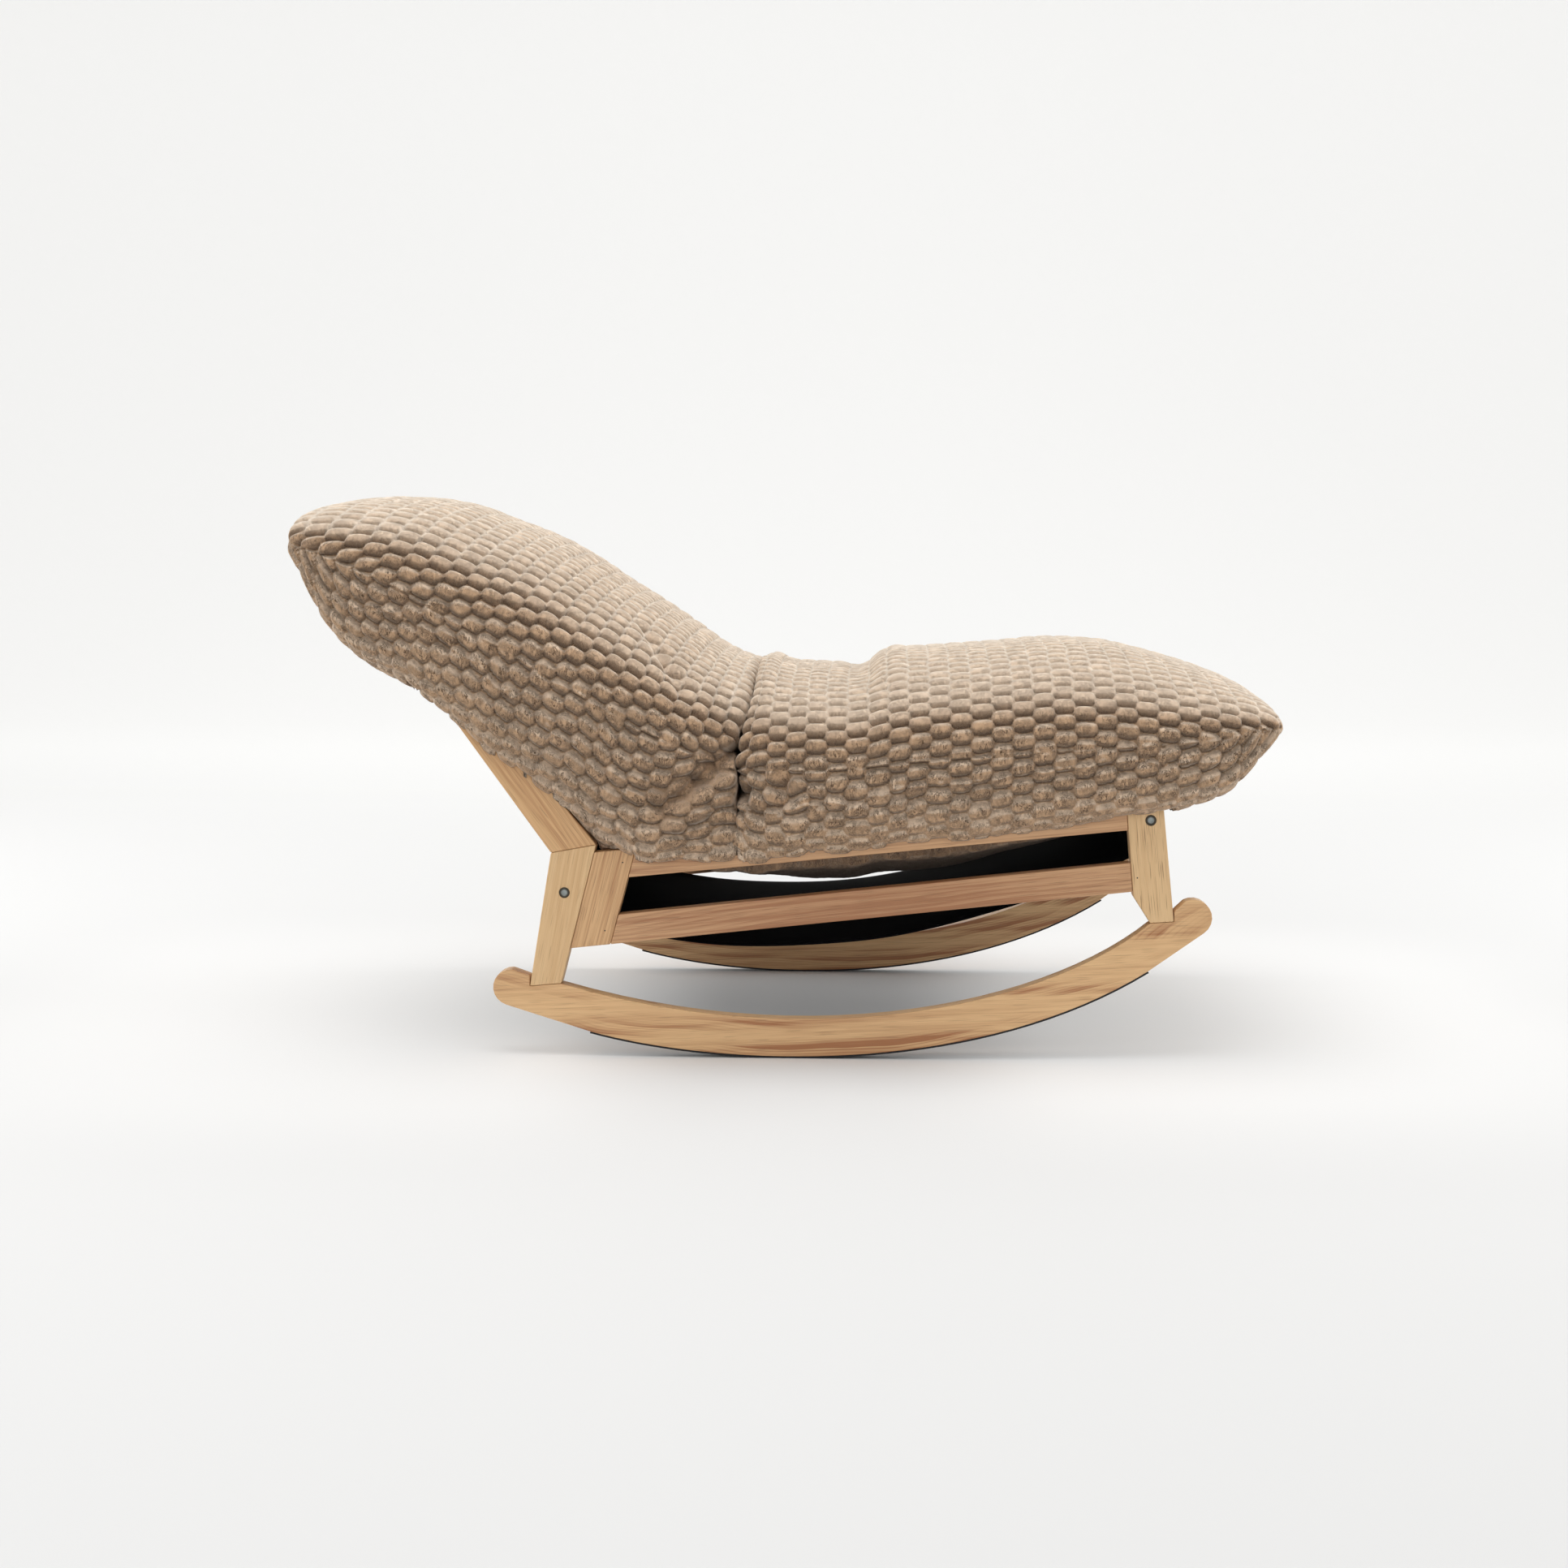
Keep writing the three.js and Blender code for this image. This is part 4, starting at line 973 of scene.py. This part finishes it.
def softNoise(x, y, seed):
    # smooth value noise from -1 to 1
    i, j = np.floor(x), np.floor(y)
    u, v = x - i, y - j
    u, v = u * u * (3 - 2 * u), v * v * (3 - 2 * v)
    low = hashed(i, j, seed) * (1 - u) + hashed(i + 1, j, seed) * u
    high = hashed(i, j + 1, seed) * (1 - u) + hashed(i + 1, j + 1, seed) * u
    return 2 * (low * (1 - v) + high * v) - 1


def bell(value, middle, reach):
    return np.exp(-(((value - middle) / reach) ** 2))


def ramp(value, none, full):
    # 0 at the first place, 1 at the second
    return np.clip((value - none) / (full - none), 0, 1)


def bumpHeight(p, q, seed, reach):
    # height of the pile: square pads of plush, every second band half a pad further round
    band, row = plushForm["band"] / mm, plushForm["row"] / mm
    smallest, larger = padLook["size"]
    powerRound, powerAlong = padLook["powers"]
    height = np.zeros(p.shape)
    own = np.floor(p / band)
    for step in (-1, 0, 1):
        k = own + step
        x = p - (k + 0.5) * band
        shifted = q / row + 0.5 * np.mod(k, 2)
        r = np.floor(shifted)
        for side in (-1, 0, 1):
            stray = padLook["stray"] * (hashed(k, r + side, seed + 3) - 0.5)
            y = (shifted - r - 0.5 - side) * row + stray
            grow = smallest + larger * hashed(k, r + side, seed)
            inside = 1 - (np.abs(y) / (reach * row)) ** powerRound
            inside = inside - (np.abs(x) / (padLook["halfLength"] * band * grow)) ** powerAlong
            height = np.maximum(height, grow * np.maximum(inside, 0) ** padLook["crown"])
    return height


def restHeight(x, y):
    lowest = np.full(x.shape, -1.0)
    for line in restLines:
        (x0, z0), (x1, z1) = line["from"], line["to"]
        inReach = (x >= x0) & (x <= x1) & (np.abs(y) >= line["inside"]) & (np.abs(y) <= line["outside"])
        level = z0 + (z1 - z0) * (x - x0) / (x1 - x0)
        lowest = np.where(inReach, np.maximum(lowest, level), lowest)
    return lowest


def loftedRings(rings):
    # a fine grid of points over the rings, how far round each lies, and how far along
    knots = pathLengths(rings[:, 2], rings[:, 3]) * mm
    along = round(knots[-1] / plushForm["band"]) * plushForm["bandCells"]
    at = np.linspace(0, knots[-1], along + 1)
    crownX, crownZ, seamX, seamZ, bellyX, bellyZ, width, roundness = (
        softCurve(knots, rings[:, c], at) for c in range(8)
    )
    half = round(plushForm["halfGirth"] / plushForm["row"]) * plushForm["rowCells"]
    angle = np.linspace(0, math.pi, plushForm["girthSamples"])
    cosine, sine = np.cos(angle), np.sin(angle)
    across = np.abs(cosine) ** (2 / plushForm["roundness"])
    crownRise = np.abs(sine) ** (2 / plushForm["roundness"])
    crownRise += plushForm["dome"] * (1 - across ** plushForm["domePower"] - crownRise)
    points = np.zeros((along + 1, 2 * half + 1, 3))
    girth = np.zeros((along + 1, 2 * half + 1))
    for i in range(along + 1):
        out = np.sign(cosine) * across * width[i] * plushForm["halfWidth"]
        bellyRise = np.abs(sine) ** (2 / roundness[i])
        # half of the points go over the crown, half under the belly
        for start, endX, endZ, rise, y in (
            (0, crownX[i], crownZ[i], crownRise, out), (half, bellyX[i], bellyZ[i], bellyRise, -out),
        ):
            x = (seamX[i] + (endX - seamX[i]) * rise) * mm
            z = (seamZ[i] + (endZ - seamZ[i]) * rise) * mm
            length = pathLengths(x, y, z)
            even = np.linspace(0, length[-1], half + 1)
            rows = slice(start, start + half + 1)
            for axis, values in enumerate((x, y, z)):
                points[i, rows, axis] = np.interp(even, length, values)
            girth[i, rows] = even - length[-1] / 2
    return points, girth, at


def outwardNormals(points, forward):
    du = np.gradient(points, axis=0)
    closed = np.concatenate([points[:, -2:-1], points, points[:, 1:2]], axis=1)
    dv = (closed[:, 2:] - closed[:, :-2]) / 2
    normal = np.cross(dv, du) if forward else np.cross(du, dv)
    return normal / np.maximum(np.linalg.norm(normal, axis=2, keepdims=True), 1e-12)


def meshFromGrid(name, points, layers):
    # a grid of faces laid over the points, welded where it meets itself
    rowsAlong, rowsRound = points.shape[0] - 1, points.shape[1] - 1
    form = bmesh.new()
    bmesh.ops.create_grid(form, x_segments=rowsAlong, y_segments=rowsRound, size=0.5)
    mesh = meshFrom(form, name)
    flat = np.zeros(len(mesh.vertices) * 3)
    mesh.vertices.foreach_get("co", flat)
    flat = flat.reshape(-1, 3)
    i = np.rint((flat[:, 0] + 0.5) * rowsAlong).astype(int)
    j = np.rint((flat[:, 1] + 0.5) * rowsRound).astype(int)
    mesh.vertices.foreach_set("co", points[i, j].ravel())
    for layerName, values in layers.items():
        layer = mesh.attributes.new(layerName, "FLOAT", "POINT")
        layer.data.foreach_set("value", values[i, j].astype(np.float32))
    form = bmesh.new()
    form.from_mesh(mesh)
    bmesh.ops.remove_doubles(form, verts=form.verts, dist=plushForm["weld"])
    bmesh.ops.dissolve_degenerate(form, edges=form.edges, dist=plushForm["weld"])
    bmesh.ops.recalc_face_normals(form, faces=form.faces)
    openEdges = sum(1 for e in form.edges if len(e.link_faces) != 2)
    form.to_mesh(mesh)
    form.free()
    mesh.shade_smooth()
    print("  ", name, len(mesh.polygons), "faces,", openEdges, "open edges")
    return mesh


def cushionPiece(name, rings, stoodFor, look, sculpt):
    seed = look["seed"]
    rings = np.array(rings, float)
    forward = rings[-1, 2] > rings[0, 2]
    points, girth, at = loftedRings(rings)
    half = points.shape[1] // 2
    normal = outwardNormals(points, forward)
    normal[-1] = (1 if forward else -1, 0, 0)
    p = np.broadcast_to(at[:, None], girth.shape)
    fromTip = at[-1] - p
    x, y, z = points[..., 0], points[..., 1], points[..., 2]
    below = np.zeros(girth.shape)
    below[:, half + 1:] = 1

    # plush pads, unevenly laid
    wander = sculpt(x, y, z)
    warpP = padLook["warp"][0] * softNoise(x * 15 + seed, z * 15 + y * 15, 3 + seed)
    warpQ = padLook["warp"][1] * softNoise(x * 17, z * 17 - y * 17 + seed, 5 + seed)
    warpP = warpP + wander["twist"] * softNoise(x * 31, z * 31 + y * 9, 7 + seed)
    warpQ = warpQ + wander["twist"] * softNoise(x * 29, z * 29 - y * 9, 8 + seed)
    alongMm = p / mm + warpP + 12 * seed
    reach = padLook["reach"] + (padLook["lowReach"] - padLook["reach"]) * below
    pile = bumpHeight(alongMm, girth / mm + warpQ, seed, reach)
    bandMm = plushForm["band"] / mm
    bandPlace = alongMm / bandMm
    fromLine = np.abs(bandPlace - np.rint(bandPlace)) * bandMm
    bandLine = bell(fromLine, 0, padLook["lineWidth"]) * look["lines"]
    curl = softNoise(x * 260, (y + z) * 260, 11 + seed) * softNoise(x * 170, (y - z) * 170, 12 + seed)

    # the side seam: a shallow groove with an uneven ridge in it
    seamGap = np.abs(girth[:, :1]) - np.abs(girth)
    wave = seamLook["ridgeWave"] * softNoise(x * 75, z * 30, 16 + seed)
    ridge = bell(seamGap * (1 - 2 * below), wave, seamLook["ridgeWidth"]) * seamLook["ridge"]
    ridge = ridge * np.clip(0.75 + 0.6 * softNoise(x * 140, z * 60, 17 + seed), 0.1, 1.3)
    ridge = ridge * ramp(fromTip, 0, seamLook["ridgeTip"])
    groove = bell(seamGap, 0, seamLook["width"]) * seamLook["depth"] - ridge

    # the rim is drawn in at the crease
    crease = ramp(p, look["creaseReach"], 0)
    crease = look["creaseInset"] * (1 - np.sqrt(np.maximum(1 - crease ** 2, 0)))
    crease = crease * np.maximum(ramp(z, 0.225, 0.295), 0.1)

    # where the pads are lower: on the frame, on top, on the shaded underside, under the belly and at the tip
    restLevel = restHeight(x, np.minimum(np.abs(y), 0.3))
    resting = np.clip((restLevel - z) / look["restReach"] + 0.8, 0, 1)
    betweenRails = ramp(restHeight(x, np.full(x.shape, railsMiddle)) - z, 0, 0.01)
    # painted shade: the underside that faces down or lies between the rails is marked for a dark colour
    shadedUnderside = np.maximum(ramp(normal[..., 2], *shadedUndersideEdges["facing"]), betweenRails) * below
    shadedUnderside = shadedUnderside * ramp(np.abs(y), *shadedUndersideEdges["side"])
    shadedUnderside = shadedUnderside * ramp(x, *shadedUndersideEdges["front"]) * ramp(x, *shadedUndersideEdges["rear"])
    topping = ramp(normal[..., 2], 0.6, 0.95)
    relief = padLook["relief"] * (1 - (1 - look["lowRelief"]) * resting)
    relief = relief * (1 - (1 - padLook["topRelief"]) * topping)
    relief = relief * (1 - (1 - padLook["undersideRelief"]) * shadedUnderside)
    relief = relief * np.clip(padLook["tipRelief"] + fromTip / padLook["tipReach"], 0, 1)
    relief = relief * (1 - padLook["underRelief"] * below * ramp(normal[..., 2], -0.4, -0.8))

    lift = (relief * (pile - 1) + padLook["relief"] - padLook["sink"] + padLook["curl"] * curl
            - groove - crease + wander["depth"])
    tipFade = ramp(fromTip, 0, seamLook["tipFade"])
    lift = lift * tipFade - seamLook["tipInset"] * (1 - tipFade)
    points = points + normal * lift[..., None]
    endWander = ramp(p, seamLook["endReach"], 0) * seamLook["endWander"]
    points[..., 0] += endWander * softNoise(points[..., 2] * 45, y * 30, 41)
    points[:, -1] = points[:, 0]
    points[-1, half + 1:] = points[-1, :half][::-1]

    # how much each spot of the pile faces further up than the cushion under it
    tilt = outwardNormals(points, forward)[..., 2] - normal[..., 2]
    # painted shade: in the tuck the upward tilt, and so the painted light from it, is cut down
    tilt = np.minimum(tilt, tilt * (1 - wander["shade"]))
    # flat where it rests on the frame
    points[..., 2] = np.maximum(points[..., 2], restHeight(points[..., 0], points[..., 1]))
    # the hidden end at the crease is drawn in and closed
    middle = np.array([rings[0, 2] * mm, 0, rings[0, 3] * mm])
    caps = np.array([middle + (points[0] - middle) * share for share in seamLook["caps"]])
    layers = {
        "pile": np.maximum(pile, ridge / seamLook["ridge"]), "upward": normal[..., 2], "tilt": tilt,
        "bandLine": bandLine, "shadedUnderside": shadedUnderside,
    }
    hidden = np.zeros((len(caps), points.shape[1]))
    layers = {layerName: np.concatenate([hidden, values]) for layerName, values in layers.items()}
    mesh = meshFromGrid(name, np.concatenate([caps, points]), layers)
    piece = addPiece(name, mesh, "cushion", plush, [stoodFor])


seatShape = {
    "swell": 2.0 * mm,
    "lowSwell": 4 * mm,  # knotted pads low down near the crease
    "twist": 6.5,  # mm that the pads wander there
    "holes": 17 * mm,
    "lip": 6 * mm,  # raised rim behind the crease
    "step": 4 * mm,  # the crown's edge over the hollow
    "hollow": 5 * mm,
}


def seatSculpt(x, y, z):
    lower = ramp(z, 0.375, 0.325) * ramp(x, 0.30, 0.10)
    crown = ramp(z, 0.44, 0.455)
    lip = seatShape["lip"] * bell(x, -0.031, 0.009) * (0.7 + 0.3 * softNoise(y * 12, y * 3, 24))
    step = seatShape["step"] * bell(x, 0.128, 0.022) - seatShape["hollow"] * bell(x, 0.088, 0.016)
    holes = np.clip(softNoise(x * 38, z * 38, 23) - 0.1, 0, 1) * seatShape["holes"] * lower
    holes = holes * ramp(z, 0.275, 0.305)
    depth = seatShape["swell"] * softNoise(x * 8, y * 8 + z * 8, 21)
    depth = depth + seatShape["lowSwell"] * lower * softNoise(x * 26, z * 26, 22)
    return {"twist": seatShape["twist"] * lower, "depth": depth + crown * (lip + step) - holes, "shade": 0}


def nearLine(place, start, end):
    # distance to a straight line between two places, and how far along it
    line = [b - a for a, b in zip(start, end)]
    length = sum(v * v for v in line)
    t = np.clip(sum((p - a) * v for p, a, v in zip(place, start, line)) / length, 0, 1)
    return np.sqrt(sum((p - a - t * v) ** 2 for p, a, v in zip(place, start, line))), t


backShape = {
    "swell": 2.0 * mm,
    "lowSwell": 4 * mm,
    "tuck": ((-0.050, 0.372), (-0.134, 0.304)),  # runs down and back from the crease on both sides
    "tuckDepth": 24 * mm,
    "tuckWidth": 0.008,
    "roll": ((-0.058, 0.338), (-0.120, 0.282)),  # the roll of plush under the tuck
    "rollHeight": 13 * mm,
    "rollWidth": 0.017,
    "lumps": 2.5 * mm,
    "shade": 0.85,  # share of the light that the tuck keeps off
    "folds": [  # start, end and depth of each fold in the crown, mirrored to the far side
        ((-0.185, 0.20, 0.545), (-0.105, 0.315, 0.430), 12 * mm),
        ((-0.120, 0.12, 0.515), (-0.060, 0.26, 0.455), 9 * mm),
        ((-0.260, 0.05, 0.605), (-0.150, 0.20, 0.530), 6 * mm),
    ],
    "foldWidth": 0.010,
    "knot": (-0.385, 0.512),  # a tangled spot on the side
    "knotReach": 0.035,
    "knotDepth": 9 * mm,
    "twist": 4,  # mm that the pads wander low down and at the knot
}


def backSculpt(x, y, z):
    lower = ramp(z, 0.38, 0.32) * ramp(x, -0.3, -0.18)
    side = ramp(np.abs(y), 0.24, 0.28)
    depth = backShape["swell"] * softNoise(x * 8, y * 8 + z * 8, 31)
    depth = depth + backShape["lowSwell"] * lower * softNoise(x * 26, z * 26, 32)
    away, t = nearLine((x, z), *backShape["tuck"])
    fold = bell(away, 0.006, 0.026) * side
    depth = depth + backShape["lumps"] * fold * softNoise(x * 85, z * 85, 34)
    depth = depth - backShape["tuckDepth"] * bell(away, 0, backShape["tuckWidth"]) * side * (1 - 0.6 * t)
    away, t = nearLine((x, z), *backShape["roll"])
    depth = depth + backShape["rollHeight"] * bell(away, 0, backShape["rollWidth"]) * side
    for start, end, deep in backShape["folds"]:
        away, t = nearLine((x, np.abs(y), z), start, end)
        fading = np.sqrt(np.maximum(1 - (2 * t - 1) ** 2, 0))
        depth = depth - deep * bell(away, 0, backShape["foldWidth"]) * fading
    knotX, knotZ = backShape["knot"]
    knot = bell(np.hypot(x - knotX, z - knotZ), 0, backShape["knotReach"]) * side
    depth = depth - backShape["knotDepth"] * knot * np.clip(softNoise(x * 45, z * 45, 33), 0, 1)
    twist = backShape["twist"] * lower + backShape["twist"] * knot
    return {"twist": twist, "depth": depth, "shade": backShape["shade"] * fold}


# lines: how pale the lines on top are; low relief: share of the relief left on the frame
seatLook = {"seed": 1, "creaseInset": 3 * mm, "creaseReach": 8 * mm, "lines": 0.22, "lowRelief": 0.4,
            "restReach": 32 * mm}
backLook = {"seed": 2, "creaseInset": 12 * mm, "creaseReach": 24 * mm, "lines": 0.7, "lowRelief": 0.65,
            "restReach": 15 * mm}
cushionPiece("seat_cushion_plush", seatRings, "seat_cushion", seatLook, seatSculpt)
cushionPiece("back_cushion_plush", backRings, "back_cushion", backLook, backSculpt)
